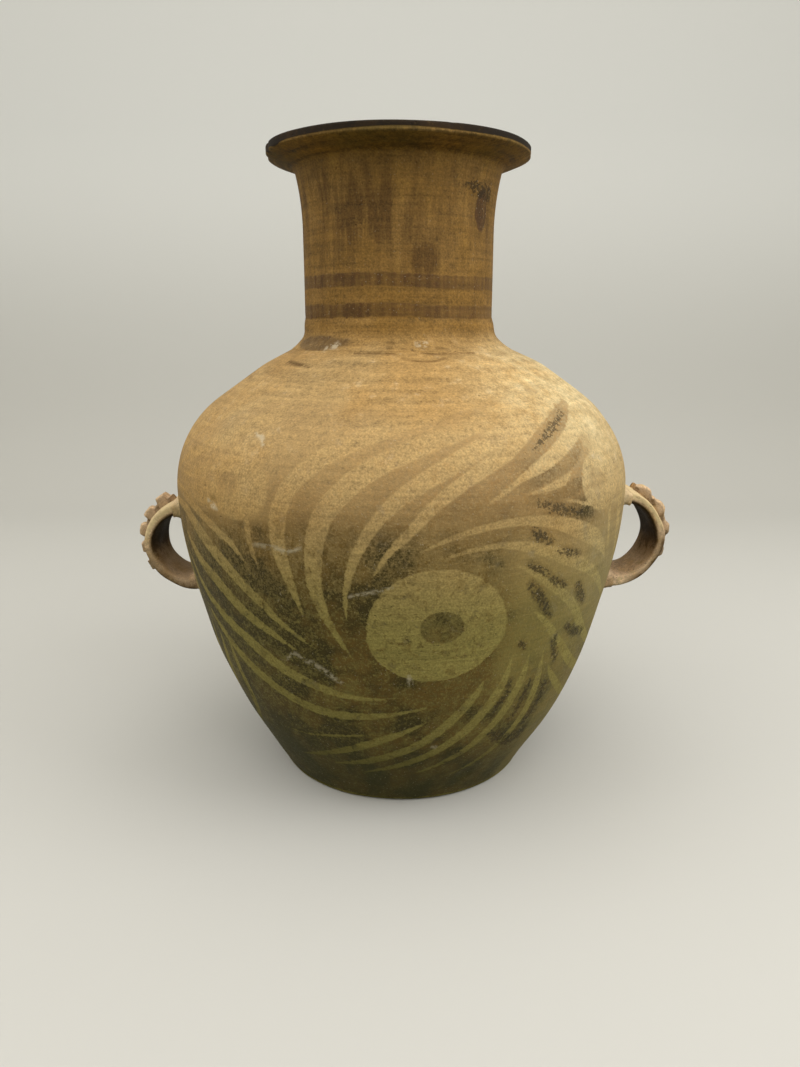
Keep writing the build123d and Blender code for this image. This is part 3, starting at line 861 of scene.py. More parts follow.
def dress(piece, node, finish):
    """Gives a piece its finish and sets it in the place of its construction piece."""
    piece.data.materials.clear()
    piece.data.materials.append(finish)
    smooth_faces(piece)
    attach(piece, "root")
    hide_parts(node)


def turned_piece(node, outline, sizes, closed=True):
    """Piece turned from its half section, given as radius and height."""
    points = np.column_stack([outline[:, 0], np.zeros(len(outline)), outline[:, 1]])
    piece = start_piece(f"fired_{node}", points, closed)
    sweep(piece, "Z", 2 * math.pi, sizes.steps)
    close_up()
    return piece


class Wire:
    """A shader socket that takes part in sums, and a place to add more nodes from."""

    def __init__(self, tree, socket=None):
        self.tree = tree
        self.socket = socket

    def add(self, kind, settings=None, inputs=None, output=0):
        """New node of a kind, with its settings made first and its inputs set or linked."""
        node = self.tree.nodes.new(kind)
        for name, value in (settings or {}).items():
            setattr(node, name, value)
        for key, value in (inputs or {}).items():
            if isinstance(value, Wire):
                self.tree.links.new(value.socket, node.inputs[key])
            else:
                node.inputs[key].default_value = value
        return Wire(self.tree, node.outputs[output]) if len(node.outputs) else Wire(self.tree)

    def math(self, operation, *others):
        """Value worked out from this one and others by a Math node."""
        values = dict(enumerate((self, *others)))
        return self.add("ShaderNodeMath", {"operation": operation}, values)

    def __add__(self, other):
        return self.math("ADD", other)

    __radd__ = __add__

    def __sub__(self, other):
        return self.math("SUBTRACT", other)

    def __rsub__(self, other):
        return self.add("ShaderNodeMath", {"operation": "SUBTRACT"}, {0: other, 1: self})

    def __mul__(self, other):
        return self.math("MULTIPLY", other)

    __rmul__ = __mul__

    def ease(self, low, high):
        """Smooth climb from 0 to 1 as this value goes from low to high."""
        inputs = {"Value": self, "From Min": low, "From Max": high}
        return self.add("ShaderNodeMapRange", {"interpolation_type": "SMOOTHSTEP"}, inputs)

    def clamp(self):
        """This value held between 0 and 1."""
        return self.add("ShaderNodeClamp", None, {0: self})

    def noise(self, scale, detail=3.0, roughness=0.55):
        """Noise at this place, about 0.5."""
        inputs = {"Vector": self, "Scale": scale, "Detail": detail, "Roughness": roughness}
        return self.add("ShaderNodeTexNoise", None, inputs)

    def stretch(self, across, up):
        """This place stretched or squeezed sideways and upwards."""
        return self.add("ShaderNodeMapping", None, {"Vector": self, "Scale": (across, across, up)})

    def tint(self, factor, other):
        """This colour mixed with another."""
        second = other if isinstance(other, Wire) else (*other, 1.0)
        inputs = {MIX_FACTOR: factor, MIX_FIRST: self, MIX_SECOND: second}
        return self.add("ShaderNodeMix", {"data_type": "RGBA"}, inputs, MIX_RESULT)

    def shade(self, value):
        """This colour made darker or lighter by a value about 1."""
        settings = {"data_type": "RGBA", "blend_type": "MULTIPLY"}
        grey = self.add("ShaderNodeCombineColor", None, {0: value, 1: value, 2: value})
        inputs = {MIX_FACTOR: 1.0, MIX_FIRST: self, MIX_SECOND: grey}
        return self.add("ShaderNodeMix", settings, inputs, MIX_RESULT)

    def part(self, axis):
        """One of this place's three coordinates."""
        return self.add("ShaderNodeSeparateXYZ", None, {0: self}, axis)


def new_finish(name):
    """Empty material with its shader, and the object's own coordinates to build on."""
    finish = bpy.data.materials.new(name)
    finish.use_nodes = True
    tree = finish.node_tree
    place = Wire(tree).add("ShaderNodeTexCoord", None, None, "Object")
    shader = next(node for node in tree.nodes if node.type == "BSDF_PRINCIPLED")
    return finish, place, shader


def finish_with(shader, tree, base, rough, relief, depth):
    """Links a finish's colour, roughness and relief to its shader."""
    tree.links.new(base.socket, shader.inputs["Base Color"])
    tree.links.new(rough.socket, shader.inputs["Roughness"])
    bump = base.add("ShaderNodeBump", None, {"Strength": 1.0, "Distance": depth, "Height": relief})
    tree.links.new(bump.socket, shader.inputs["Normal"])
    shader.inputs["Specular IOR Level"].default_value = 0.2


def plain_colour(place, value):
    """A colour as a node, so that others can be mixed into it."""
    inputs = {MIX_FACTOR: 0.0, MIX_FIRST: (*value, 1.0), MIX_SECOND: (*value, 1.0)}
    return place.add("ShaderNodeMix", {"data_type": "RGBA"}, inputs, MIX_RESULT)


def noted(place, name):
    """Number that was kept on a piece's points."""
    return place.add("ShaderNodeAttribute", {"attribute_name": name}, None, "Fac")


def stained_neck(place, colours):
    """Brown clay of the neck and the rim, with stains that have run down it, darker under the rim with
    painted shade.
    """
    patch, grain = place.noise(*PATCH), place.noise(*GRAIN)
    streaks = place.stretch(300.0, 20.0).noise(1.0, 4.0, 0.6)
    broad_runs = place.stretch(110.0, 9.0).noise(1.0, 3.0, 0.6)
    clay = plain_colour(place, colours.neck).tint(patch.ease(0.40, 0.66) * 0.25, colours.orange)
    runs = 0.72 + 2.4 * (streaks - 0.5) + 2.6 * (broad_runs - 0.5)
    runs = runs + 2.2 * (patch - 0.5) + 1.6 * (grain - 0.5)
    return clay.tint((noted(place, "stain") * runs).clamp() * 0.9, colours.umber)


def clay_skin(place, colours):
    """Colour, roughness and relief of slipped clay with worn paint, flecks, scratches and stains, and
    painted shade and sheen.
    """
    paint, kept, flecks = noted(place, "paint"), noted(place, "kept"), noted(place, "flecks")
    scratches, stain = noted(place, "scratches"), noted(place, "stain")
    side, height = place.part(0), place.part(2)
    broad, patch = place.noise(13.0, 3.0), place.noise(*PATCH)
    blotch, grain = place.noise(125.0, 4.0, 0.6), place.noise(*GRAIN)
    fine, specks = place.noise(*FINE), place.noise(640.0, 3.0, 0.7).ease(0.50, 0.66)
    wipes = place.stretch(18.0, 420.0).noise(1.0, 4.0)
    streaks = place.stretch(300.0, 20.0).noise(1.0, 4.0, 0.6)

    on_neck = height.ease(0.262, 0.282)
    # Tan above, olive below: partly the clay's own change of colour, partly painted shade and painted green
    # bounce light that darken the lower wall.
    clay = plain_colour(place, colours.olive).tint(height.ease(0.118, 0.200), colours.tan)
    clay = clay.tint(broad.ease(0.42, 0.60) * height.ease(0.14, 0.2) * 0.8, colours.orange)
    left_side = (side * -1.0).ease(0.02, 0.09)
    # Painted sheen and painted light where the sides face the light, most on the right, a little on the
    # upper left, over paler dusty clay.
    lit_sides = 0.80 * side.ease(0.01, 0.09) * (1.0 - 0.4 * side.ease(0.100, 0.132))
    lit_sides = lit_sides + 0.15 * left_side.ease(0.8, 1.0)
    bloom = lit_sides * height.ease(0.185, 0.248)
    bloom = bloom + 0.28 * side.ease(0.07, 0.11) * height.ease(0.09, 0.15)
    bloom = bloom * (0.85 + 2.0 * (blotch - 0.5) + 1.5 * (patch - 0.5))
    clay = clay.tint(bloom.clamp(), colours.bloom)
    # Painted shade: the top of the shoulder, shaded by the rim, is darker except on the right.
    clay = clay.shade(1.0 - 0.16 * height.ease(0.220, 0.245) * (1.0 - side.ease(0.02, 0.07)))
    clay = clay.tint(blotch.ease(0.56, 0.74) * patch.ease(0.40, 0.60) * 0.30, colours.pale)
    clay = clay.tint(on_neck, stained_neck(place, colours))
    mottle = 1.0 * (grain - 0.5) + 1.3 * (fine - 0.5) + 0.6 * (blotch - 0.5)
    wiped = (wipes - 0.5) * (0.6 + 0.35 * height.ease(0.225, 0.25))
    clay = clay.shade(1.0 + mottle * (1.0 + 0.2 * on_neck) + wiped)

    ragged = paint + 2.2 * (grain - 0.5) + 1.6 * (fine - 0.5) + 3.0 * (blotch - 0.5) * on_neck
    cover = ragged.ease(-0.55, 0.55)
    thin = 1.04 + 2.0 * (grain - 0.5) + 2.4 * (fine - 0.5) + 1.2 * (blotch - 0.5) + 0.7 * (patch - 0.5)
    thin = thin + 2.2 * (streaks - 0.5) * on_neck
    smears = 0.60 * blotch.ease(0.50, 0.66) + 0.60 * grain.ease(0.52, 0.66)
    below_shoulder = (1.0 - on_neck) * (1.0 - height.ease(0.235, 0.255))
    bare_part = smears * (0.30 + 0.60 * kept) * (1.0 - cover) * below_shoulder
    layer = (kept * (thin - 0.42 * specks) * cover + bare_part).clamp()
    thick = (patch.ease(0.40, 0.62) + 0.7 * left_side * (1.0 - height.ease(0.145, 0.175))).clamp()
    pigment = plain_colour(place, colours.brown).tint(thick, colours.dark)
    faded = height.ease(0.172, 0.200) * (1.0 - kept.ease(0.64, 0.78))
    pigment = pigment.tint(faded * 0.9, colours.rust).tint(on_neck, colours.maroon)
    pigment = pigment.shade(1.0 + 1.6 * (grain - 0.5) + 2.0 * (fine - 0.5))
    skin = clay.tint(layer * 0.96, pigment)

    # Painted shade near the ground, in the soot colour.
    shade_near_ground = (stain * (1.0 - on_neck) * (0.35 + 0.9 * patch)).clamp()
    skin = skin.tint(shade_near_ground * 0.75, colours.soot)
    crumbs = place.noise(520.0, 6.0, 0.75)
    black = (crumbs + 0.30 * (flecks - 1.0)).ease(0.43, 0.54) * flecks.ease(0.05, 0.4)
    skin = skin.tint(black * 0.70, colours.black)
    white = place.noise(760.0, 2.0).ease(0.66, 0.74) * (0.20 + 0.35 * layer + 0.5 * flecks).clamp()
    skin = skin.tint(white * 0.8, colours.pale)
    skin = skin.tint(scratches * grain.ease(0.42, 0.56) * 0.70, colours.pale)
    skin = skin.tint(noted(place, "cracks") * grain.ease(0.34, 0.52) * 0.95, colours.umber)
    pits = place.add("ShaderNodeTexVoronoi", None, {"Vector": place, "Scale": 170.0}, "Distance")
    pit = (1.0 - pits.ease(0.03, 0.12)) * broad.ease(0.40, 0.62)
    skin = skin.tint(pit * 0.30, colours.umber)

    rough = (0.66 + 0.22 * grain - 0.12 * cover + 0.1 * black).clamp()
    relief = 0.30 * wipes + 0.34 * grain + 0.16 * fine + 0.10 * layer - 0.9 * pit + 0.25 * black
    return skin, rough, relief


def painted_clay(colours):
    """Finish of the painted wall and neck."""
    finish, place, shader = new_finish("whirl_painted_clay")
    finish_with(shader, place.tree, *clay_skin(place, colours), 0.0006)
    return finish


def painted_rim(colours):
    """Finish of the rim: the neck's clay, darkened below by painted shade and a smudge, with thick dark
    paint on the lip.
    """
    finish, place, shader = new_finish("rim_painted_clay")
    lip, smudge = noted(place, "lip_paint"), noted(place, "smudge")
    patch, grain = place.noise(*PATCH), place.noise(*GRAIN)
    fine = place.noise(*FINE)
    wipes = place.stretch(14.0, 620.0).noise(1.0, 4.0)
    skin, rough, relief = clay_skin(place, colours)
    # Painted shade under the rim, in the soot colour, with the smudge at the front.
    smudge_and_shade = (smudge * (0.8 + 1.5 * (patch - 0.5) + 1.5 * (wipes - 0.5))).clamp()
    skin = skin.tint(smudge_and_shade * 0.8, colours.soot)
    skin = skin.shade(1.0 + (3.0 * (wipes - 0.5) + 1.5 * (grain - 0.5)) * smudge.ease(0.05, 0.15))
    cover = (lip + 0.9 * (grain - 0.5) + 0.7 * (fine - 0.5)).ease(-0.3, 0.3)
    worn = place.noise(420.0, 4.0, 0.65).ease(0.60, 0.72)
    pigment = plain_colour(place, colours.lip).tint(patch.ease(0.45, 0.7) * 0.3, colours.umber)
    skin = skin.tint(cover * (1.0 - 0.25 * worn), pigment.shade(0.6 + 0.8 * grain))
    finish_with(shader, place.tree, skin, rough, relief + 0.3 * wipes + 0.16 * cover, 0.0006)
    return finish


def handle_clay(colours):
    """Pinker bare clay of the handles, with painted shade in the notches, on the ridges' flanks, inside the
    loops and low down, and a painted highlight on their tops.
    """
    finish, place, shader = new_finish("handle_bare_clay")
    hollow = noted(place, "hollow")
    broad, patch = place.noise(60.0, 4.0), place.noise(140.0, 4.0)
    grain, fine = place.noise(420.0, 5.0, 0.6), place.noise(1500.0, 2.0)
    clay = plain_colour(place, colours.handle).tint(broad.ease(0.45, 0.68) * 0.55, colours.orange)
    clay = clay.tint(patch.ease(0.55, 0.75) * 0.5, colours.olive)
    clay = clay.shade(1.0 + 1.8 * (grain - 0.5) + 1.2 * (fine - 0.5) + 1.0 * (patch - 0.5))
    # The hollow number is painted light: above zero painted shade in umber, near black where deepest, below
    # zero a painted highlight in the pale sheen colour.
    shade_in = hollow * (0.95 + 2.2 * (patch - 0.5) + 2.5 * (grain - 0.5))
    clay = clay.tint((hollow * -1.0).clamp() * (0.9 + 2.0 * (grain - 0.5)), colours.bloom)
    clay = clay.tint(shade_in.clamp() * 0.92, colours.umber)
    clay = clay.tint(hollow.ease(0.7, 1.2) * 0.8, colours.lip)
    pits = place.add("ShaderNodeTexVoronoi", None, {"Vector": place, "Scale": 260.0}, "Distance")
    pit = (1.0 - pits.ease(0.05, 0.18)) * patch.ease(0.42, 0.6)
    clay = clay.tint(pit * 0.5, colours.soot)
    rough = (0.70 + 0.2 * grain).clamp()
    relief = 0.5 * grain + 0.2 * fine + 0.3 * patch - 0.9 * pit
    finish_with(shader, place.tree, clay, rough, relief, 0.0007)
    return finish


def inside_clay(colours):
    """Unpainted, dusty clay of the coil inside the jar."""
    finish, place, shader = new_finish("inside_bare_clay")
    broad, patch = place.noise(20.0, 4.0), place.noise(70.0, 4.0)
    grain, fine = place.noise(320.0, 5.0, 0.6), place.noise(1300.0, 2.0)
    clay = plain_colour(place, colours.neck).tint(broad.ease(0.4, 0.65), colours.olive)
    clay = clay.tint(patch.ease(0.40, 0.68) * 0.5, colours.soot)
    clay = clay.shade(0.62 + 0.5 * grain + 0.18 * fine)
    rough = (0.72 + 0.2 * grain).clamp()
    relief = 0.5 * grain + 0.2 * fine + 0.4 * patch
    finish_with(shader, place.tree, clay, rough, relief, 0.0007)
    return finish


def shared_finish(name, make):
    """The finish of a name, made the first time that it is asked for."""
    return bpy.data.materials.get(name) or make()


def wall_finish(colours):
    """The painted clay that the floor, the wall and the neck share."""
    return shared_finish("whirl_painted_clay", lambda: painted_clay(colours))


def handle_finish(colours):
    """The bare clay that the parts of both handles share."""
    return shared_finish("handle_bare_clay", lambda: handle_clay(colours))


def ring_outline(node, curve, sizes):
    """Half section of a ring of the wall, with the lapped seams that its neighbours share."""
    place = RING_ORDER.index(node)
    below, above = RING_ORDER[place - 1], RING_ORDER[place + 1]
    outer = curve.rows(node_high(below), node_high(node), sizes.row)
    inner = curve.rows(node_low(node), node_low(above), sizes.inner_row, sizes.wall)[::-1]
    top_seam = straight(outer[-1], inner[0], sizes.inner_row / 2)
    low_seam = straight(inner[-1], outer[0], sizes.inner_row / 2)
    return np.vstack([outer, top_seam, inner, low_seam])


def make_ring(node, curve, sizes, finish):
    """One painted ring of the wall or the neck."""
    piece = turned_piece(node, ring_outline(node, curve, sizes), sizes)
    places = spots_of(piece)
    outside = jar_radius(places) > curve.radius(places[:, 2], sizes.wall * 0.2)
    move_spots(piece, hand_worked(places, sizes, outside))
    paint_piece(piece, outside)
    dress(piece, node, finish)


def corner_outline(corner, sides, fill, edge, sink, spacing):
    """Half section of a coil smoothed into a corner: hollow in front, sunk a little behind.

    Each side is a direction away from the corner and how far the coil reaches along it.
    """
    (first, first_reach), (second, second_reach) = sides
    middle = (first + second) / np.hypot(*(first + second))
    slope_depth = 2 * first_reach * second_reach * (middle @ first) / (first_reach + second_reach)
    fronts, backs = [], []
    for along, reach in sides:
        away = middle - along * (middle @ along)
        away = away / np.hypot(*away)
        fronts.append(corner + along * reach + away * edge)
        backs.append(corner + along * reach - away * sink)
    control = 2 * (corner + middle * fill * slope_depth) - (fronts[0] + fronts[1]) / 2
    parts = np.linspace(0.0, 1.0, max(8, round((first_reach + second_reach) / spacing)))[:, None]
    hollow = fronts[0] * (1 - parts) ** 2 + 2 * control * parts * (1 - parts) + fronts[1] * parts**2
    return np.vstack([hollow, [backs[1]], [corner - middle * sink], [backs[0]]])


class JAR_OT_floor(bpy.types.Operator):
    """Floor slab with its worn foot, and the coil smoothed into the corner inside"""

    bl_idname = "jar.floor"
    bl_label = "Floor"

    def execute(self, context):
        sizes, colours = context.scene.jar_sizes, context.scene.jar_colours
        curve = WallCurve(sizes)
        rounded = sizes.foot_round
        foot_x = float(curve.radius(rounded))
        edge = bow((foot_x - rounded, rounded), rounded, -90.0, 0.0, sizes.row / 2)
        side = curve.rows(rounded, sizes.floor, sizes.row)[1:]
        under = chain([(0.0, 0.0), tuple(edge[0])], sizes.inner_row)[:-1]
        top = chain([tuple(side[-1]), (0.0, sizes.floor)], sizes.inner_row)[1:]
        slab = turned_piece("base_disc", np.vstack([under, edge, side, top]), sizes, closed=False)
        places = spots_of(slab)
        worn = waves(jar_angle(places), places[:, 2] / MM, 81, 7, 50.0) * 0.0004
        near_edge = ease(jar_radius(places), sizes.foot_radius * 0.9, sizes.foot_radius)
        low = places[:, 2] < rounded
        places[:, 2] += np.abs(worn) * near_edge * low
        outside = places[:, 2] > rounded * 0.5
        move_spots(slab, hand_worked(places, sizes, outside))
        paint_piece(slab, outside & (jar_radius(places) > sizes.foot_radius * 0.99))
        dress(slab, "base_disc", wall_finish(colours))

        corner_r = float(curve.radius(sizes.floor, sizes.wall))
        rise = float(curve.radius(sizes.floor + sizes.floor_reach, sizes.wall)) - corner_r
        up_wall = np.array([rise, sizes.floor_reach]) / np.hypot(rise, sizes.floor_reach)
        sides = [(up_wall, sizes.floor_reach), (np.array([-1.0, 0.0]), sizes.floor_reach)]
        corner = np.array([corner_r, sizes.floor])
        outline = corner_outline(
            corner, sides, sizes.floor_fill, edge=0.0003, sink=0.001, spacing=sizes.inner_row / 3
        )
        coil = turned_piece("base_joint_coil", outline, sizes)
        dress(coil, "base_joint_coil", inside_clay(colours))
        return {"FINISHED"}


class JAR_OT_wall_rings(bpy.types.Operator):
    """Painted rings of the lower wall and the shoulder"""

    bl_idname = "jar.wall_rings"
    bl_label = "Wall rings"

    def execute(self, context):
        sizes, colours = context.scene.jar_sizes, context.scene.jar_colours
        curve = WallCurve(sizes)
        finish = wall_finish(colours)
        for node in WALL_RINGS:
            make_ring(node, curve, sizes, finish)
        return {"FINISHED"}


class JAR_OT_neck_rings(bpy.types.Operator):
    """Banded rings of the neck, and the coil smoothed round its joint with the shoulder"""

    bl_idname = "jar.neck_rings"
    bl_label = "Neck rings"

    def execute(self, context):
        sizes, colours = context.scene.jar_sizes, context.scene.jar_colours
        curve = WallCurve(sizes)
        finish = wall_finish(colours)
        for node in NECK_RINGS:
            make_ring(node, curve, sizes, finish)
        downhill = np.array([curve.shoulder_normal[1], -curve.shoulder_normal[0]])
        sides = [(np.array([0.0, 1.0]), sizes.joint_rise), (downhill, sizes.joint_reach)]
        corner = np.array([sizes.neck_radius, sizes.neck_base])
        outline = corner_outline(
            corner, sides, sizes.joint_fill, edge=0.0002, sink=0.0016, spacing=sizes.row
        )
        coil = turned_piece("neck_joint_coil", outline, sizes)
        places = spots_of(coil)
        outside = np.ones(len(places), bool)
        move_spots(coil, hand_worked(places, sizes, outside))
        paint_piece(coil, outside)
        dress(coil, "neck_joint_coil", finish)
        return {"FINISHED"}


class JAR_OT_rim(bpy.types.Operator):
    """Everted rim with its painted lip"""

    bl_idname = "jar.rim"
    bl_label = "Rim"

    def execute(self, context):
        sizes, colours = context.scene.jar_sizes, context.scene.jar_colours
        curve = WallCurve(sizes)
        slope = math.degrees(sizes.underside)
        seam = node_high(NECK_RINGS[-1])
        bore = sizes.neck_radius - sizes.wall
        rounded, mouth, step = sizes.lip_round, sizes.mouth_round, sizes.row
        corner, soft = curve.rim_corner, sizes.underside_round
        flare = curve.rows(seam, corner[1] - soft, step)
        outward = np.array([math.cos(sizes.underside), math.sin(sizes.underside)])
        parts = np.linspace(0.0, 1.0, 7)[1:, None]
        bend = flare[-1] * (1 - parts) ** 2 + 2 * corner * parts * (1 - parts)
        bend = bend + (corner + outward * soft) * parts**2
        lip_x = sizes.rim_radius - rounded
        lip_low = sizes.rim_top - sizes.lip + rounded * (1.0 - outward[1]) / outward[0]
        low_bow = bow((lip_x, lip_low), rounded, slope - 90.0, 0.0, step / 3)
        top_bow = bow((lip_x, sizes.rim_top - rounded), rounded, 0.0, 90.0, step / 3)
        inlet = bow((bore + mouth, sizes.rim_top - mouth), mouth, 90.0, 180.0, step)
        outline = np.vstack([
            flare,
            bend,
            straight(bend[-1], low_bow[0], step),
            low_bow,
            straight(low_bow[-1], top_bow[0], step / 2),
            top_bow,
            straight(top_bow[-1], inlet[0], step),
            inlet,
            chain([tuple(inlet[-1]), (bore, node_low("rim"))], sizes.inner_row)[1:],
            straight((bore, node_low("rim")), flare[0], sizes.inner_row / 2),
        ])
        rim = turned_piece("rim", outline, sizes)
        places = spots_of(rim)
        angle, radius, height = jar_angle(places), jar_radius(places), places[:, 2] / MM
        level = np.zeros_like(height)
        out = ease(radius, sizes.neck_radius * 1.05, sizes.rim_radius)
        top = sizes.rim_top / MM
        face_edge = top - 3.4 - bumps(angle, LIP_DRIPS) - 0.3 * waves(angle, level, 91, 9, 400.0)
        face_paint = height - face_edge
        inner_edge = bore / MM + 3.0 + 2.5 * waves(angle, level, 92, 9, 400.0)
        inner_paint = radius / MM - inner_edge
        over_mouth = np.clip(places[:, 2] - sizes.rim_top + mouth, 0.0, mouth)
        inside = radius < bore + mouth - np.sqrt(mouth**2 - over_mouth**2) + MM
        lip_paint = np.where(inside, np.minimum(face_paint + 8.0, inner_paint), face_paint)
        # Painted shade darkens the underside of the rim all round; the bump at the front is a real smudge
        # below the lip.
        under = ease(height, top - 12.0, top - 9.5)
        smudge = 0.42 + 0.12 * waves(angle, level, 93, 6, 400.0) + bumps(angle, LIP_SMUDGE)
        sag = 0.0006 * (0.5 + 0.5 * np.sin(np.radians(angle) * 2 + 0.9))
        edge = ease(radius, sizes.rim_radius - 0.006, sizes.rim_radius - 0.001)
        places[:, 2] -= out * sag
        uneven = MM * (bumps(angle, LIP_NICKS) + 0.25 + 0.25 * np.sin(np.radians(angle) * 7))
        places[:, :2] *= (1.0 - edge * uneven / radius)[:, None]
        outside = radius > sizes.neck_radius - sizes.wall * 0.3
        move_spots(rim, hand_worked(places, sizes, outside))
        note(rim, "lip_paint", np.clip(lip_paint, -FAR, FAR))
        note(rim, "smudge", np.clip(under * smudge, 0.0, 1.2))
        paint_piece(rim, outside & ~inside)
        dress(rim, "rim", painted_rim(colours))
        return {"FINISHED"}


class Handle:
    """Where a handle stands on the wall, and the sizes in which the two differ."""

    def __init__(self, side, sizes, handles):
        self.sign = -1.0 if side == "left" else 1.0
        self.level, self.loop, self.teeth, self.pitch, self.notch = (
            getattr(handles, f"{side}_{size}") for size in ("level", "loop", "teeth", "pitch", "notch")
        )
        self.curve = WallCurve(sizes)
        self.middle = float(self.curve.radius(self.level))
        run = float(self.curve.radius(self.level + MM) - self.curve.radius(self.level - MM))
        self.lean = math.atan2(run, 2 * MM)

    def stand(self, out, across, up):
        """Places in the jar's frame from distances out of the wall, across and up the handle's loop."""
        x = self.middle + out * math.cos(self.lean) + up * math.sin(self.lean)
        z = self.level - out * math.sin(self.lean) + up * math.cos(self.lean)
        return np.column_stack([self.sign * x, self.sign * across, z])

    def on_wall(self, across, up, lift):
        """Places on the jar's wall, lifted off it along its face's direction."""
        height = self.level + up * math.cos(self.lean) - lift * math.sin(self.lean)
        radius = self.curve.radius(self.level + up * math.cos(self.lean)) + lift * math.cos(self.lean)
        angle = across / self.curve.radius(self.level)
        out = self.sign * radius
        return np.column_stack([out * np.cos(angle), out * np.sin(angle), height])


def rounded_bar(thick, wide, count, squareness=5.0):
    """Loop of points round the section of a flat strip with soft edges."""
    turns = np.linspace(0, 2 * math.pi, count, endpoint=False)
    c, s = np.cos(turns), np.sin(turns)
    return np.column_stack([
        thick / 2 * np.sign(c) * np.abs(c) ** (2 / squareness),
        wide / 2 * np.sign(s) * np.abs(s) ** (2 / squareness),
    ])


def roughened(places, seed, size, depth):
    """Places moved a little at random, as fingers leave clay."""
    rng = np.random.default_rng(seed)
    moved = places.copy()
    for axis in range(3):
        for _ in range(5):
            reach = rng.normal(0.0, 1.0, 3)
            reach *= 2 * math.pi / size / np.linalg.norm(reach)
            moved[:, axis] += depth / 2 * np.sin(places @ reach + rng.uniform(0, 2 * math.pi))
    return moved


def swept_strip(name, loop_radius, section, first, last, steps):
    """Strip swept along part of a handle's loop, with its ends closed, and its own coordinates."""
    points = np.column_stack([loop_radius + section[:, 0], section[:, 1], np.zeros(len(section))])
    piece = start_piece(name, points)
    sweep(piece, "Y", last - first, steps)
    close_up(fill=True)
    places = spots_of(piece)
    turned = np.arctan2(-places[:, 2], places[:, 0])
    turned = np.where(turned < -0.2, turned + 2 * math.pi, turned)
    return piece, turned + first, np.hypot(places[:, 0], places[:, 2]) - loop_radius, places[:, 1]


class JAR_OT_handle_straps(bpy.types.Operator):
    """Bent strips of the two loop handles, thicker where they join the wall"""

    bl_idname = "jar.handle_straps"
    bl_label = "Handle straps"

    def execute(self, context):
        scene = context.scene
        handles = scene.jar_handles
        finish = handle_finish(scene.jar_colours)
        for seed, side in ((101, "left"), (102, "right")):
            handle = Handle(side, scene.jar_sizes, handles)
            section = rounded_bar(handles.thickness, handles.width, 72)
            node = f"{side}_handle_strap"
            strap, turned, deep, across = swept_strip(
                f"fired_{node}", handle.loop, section, -STRAP_HALF_TURN, STRAP_HALF_TURN, STRAP_STEPS
            )
            root = ease(np.abs(turned), STRAP_ROOT, STRAP_HALF_TURN)
            deep = deep * (1.0 + root * handles.root_swell / handles.thickness)
            across = across * (1.0 + 0.10 * root + 0.03 * np.sin(3 * turned + seed))
            loop = handle.loop + deep
            places = handle.stand(loop * np.cos(turned), across, loop * np.sin(turned))
            move_spots(strap, roughened(places, seed, size=0.022, depth=0.0004))
            # Painted shade inside the loop, darkest at its top, and on the strap's lower part; a painted
            # highlight on its top.
            inside = ease(-deep, 0.0, handles.thickness * 0.4)
            inside = inside * (1.2 - 1.0 * ease(-turned, -0.5, 0.9))
            outer = ease(deep, handles.thickness * -0.3, handles.thickness * 0.3)
            if side == "left":
                shaded_below = (0.45 + 0.4 * outer) * ease(-turned, -0.3, 0.5)
            else:
                shaded_below = 0.95 * outer * ease(turned, -1.2, -0.8) * (1.0 - ease(turned, 0.0, 0.5))
            dark = np.maximum(inside, shaded_below)
            lit_top = 0.75 * ease(turned, 0.0, 0.7) * (1.0 - np.clip(3.0 * dark, 0.0, 1.0))
            note(strap, "hollow", dark - lit_top)
            dress(strap, node, finish)
        return {"FINISHED"}


class JAR_OT_handle_ridges(bpy.types.Operator):
    """Notched ridges on the straps: cut teeth on the left, softer lobes on the right"""

    bl_idname = "jar.handle_ridges"
    bl_label = "Handle ridges"

    def execute(self, context):
        scene = context.scene
        handles = scene.jar_handles
        finish = handle_finish(scene.jar_colours)
        for seed, side in ((111, "left"), (112, "right")):
            handle = Handle(side, scene.jar_sizes, handles)
            strap = handle.loop + handles.thickness / 2
            pitch = handle.pitch / (strap + handles.ridge_height / 2)
            first = handles.ridge_top - handle.teeth * pitch
            sink = 0.0015
            section = rounded_bar(1.0, 1.0, 48, RIDGE_SQUARENESS[side])
            section[:, 0] = (section[:, 0] + 0.5) * (handles.ridge_height + sink) - sink
            section[:, 1] *= handles.ridge_width
            node = f"{side}_handle_ridge"
            ridge, turned, deep, across = swept_strip(
                f"fired_{node}", strap, section, first, handles.ridge_top, RIDGE_STEPS
            )
            count = (turned - first) / pitch
            notch = ease(np.cos(2 * math.pi * count), *NOTCH_EDGES[side])
            tooth = np.clip(count.astype(int), 0, handle.teeth)
            tallness = np.random.default_rng(seed).uniform(0.82, 1.0, handle.teeth + 1)[tooth]
            tall = 1.0 - notch * handle.notch / handles.ridge_height
            tall = np.where(deep > 0, tall * tallness, 1.0)
            above = np.clip(deep / handles.ridge_height, 0.0, 1.0)
            flank = ease(np.abs(across), handles.ridge_width * 0.40, handles.ridge_width * 0.495)
            across = across * (1.0 - 0.22 * above) * (1.0 - 0.16 * notch * above)
            loop = strap + deep * tall
            places = handle.stand(loop * np.cos(turned), across, loop * np.sin(turned))
            move_spots(ridge, roughened(places, seed, size=0.009, depth=0.0003))
            # Painted shade on the ridge's flanks and in its notches, and on the lower part of the right
            # ridge.
            shaded_below = 0.0 if side == "left" else 0.7 * (1.0 - ease(turned, 0.1, 0.6))
            note(ridge, "hollow", np.maximum(0.8 * flank + 0.35 * notch - 0.3, shaded_below))
            dress(ridge, node, finish)
        return {"FINISHED"}


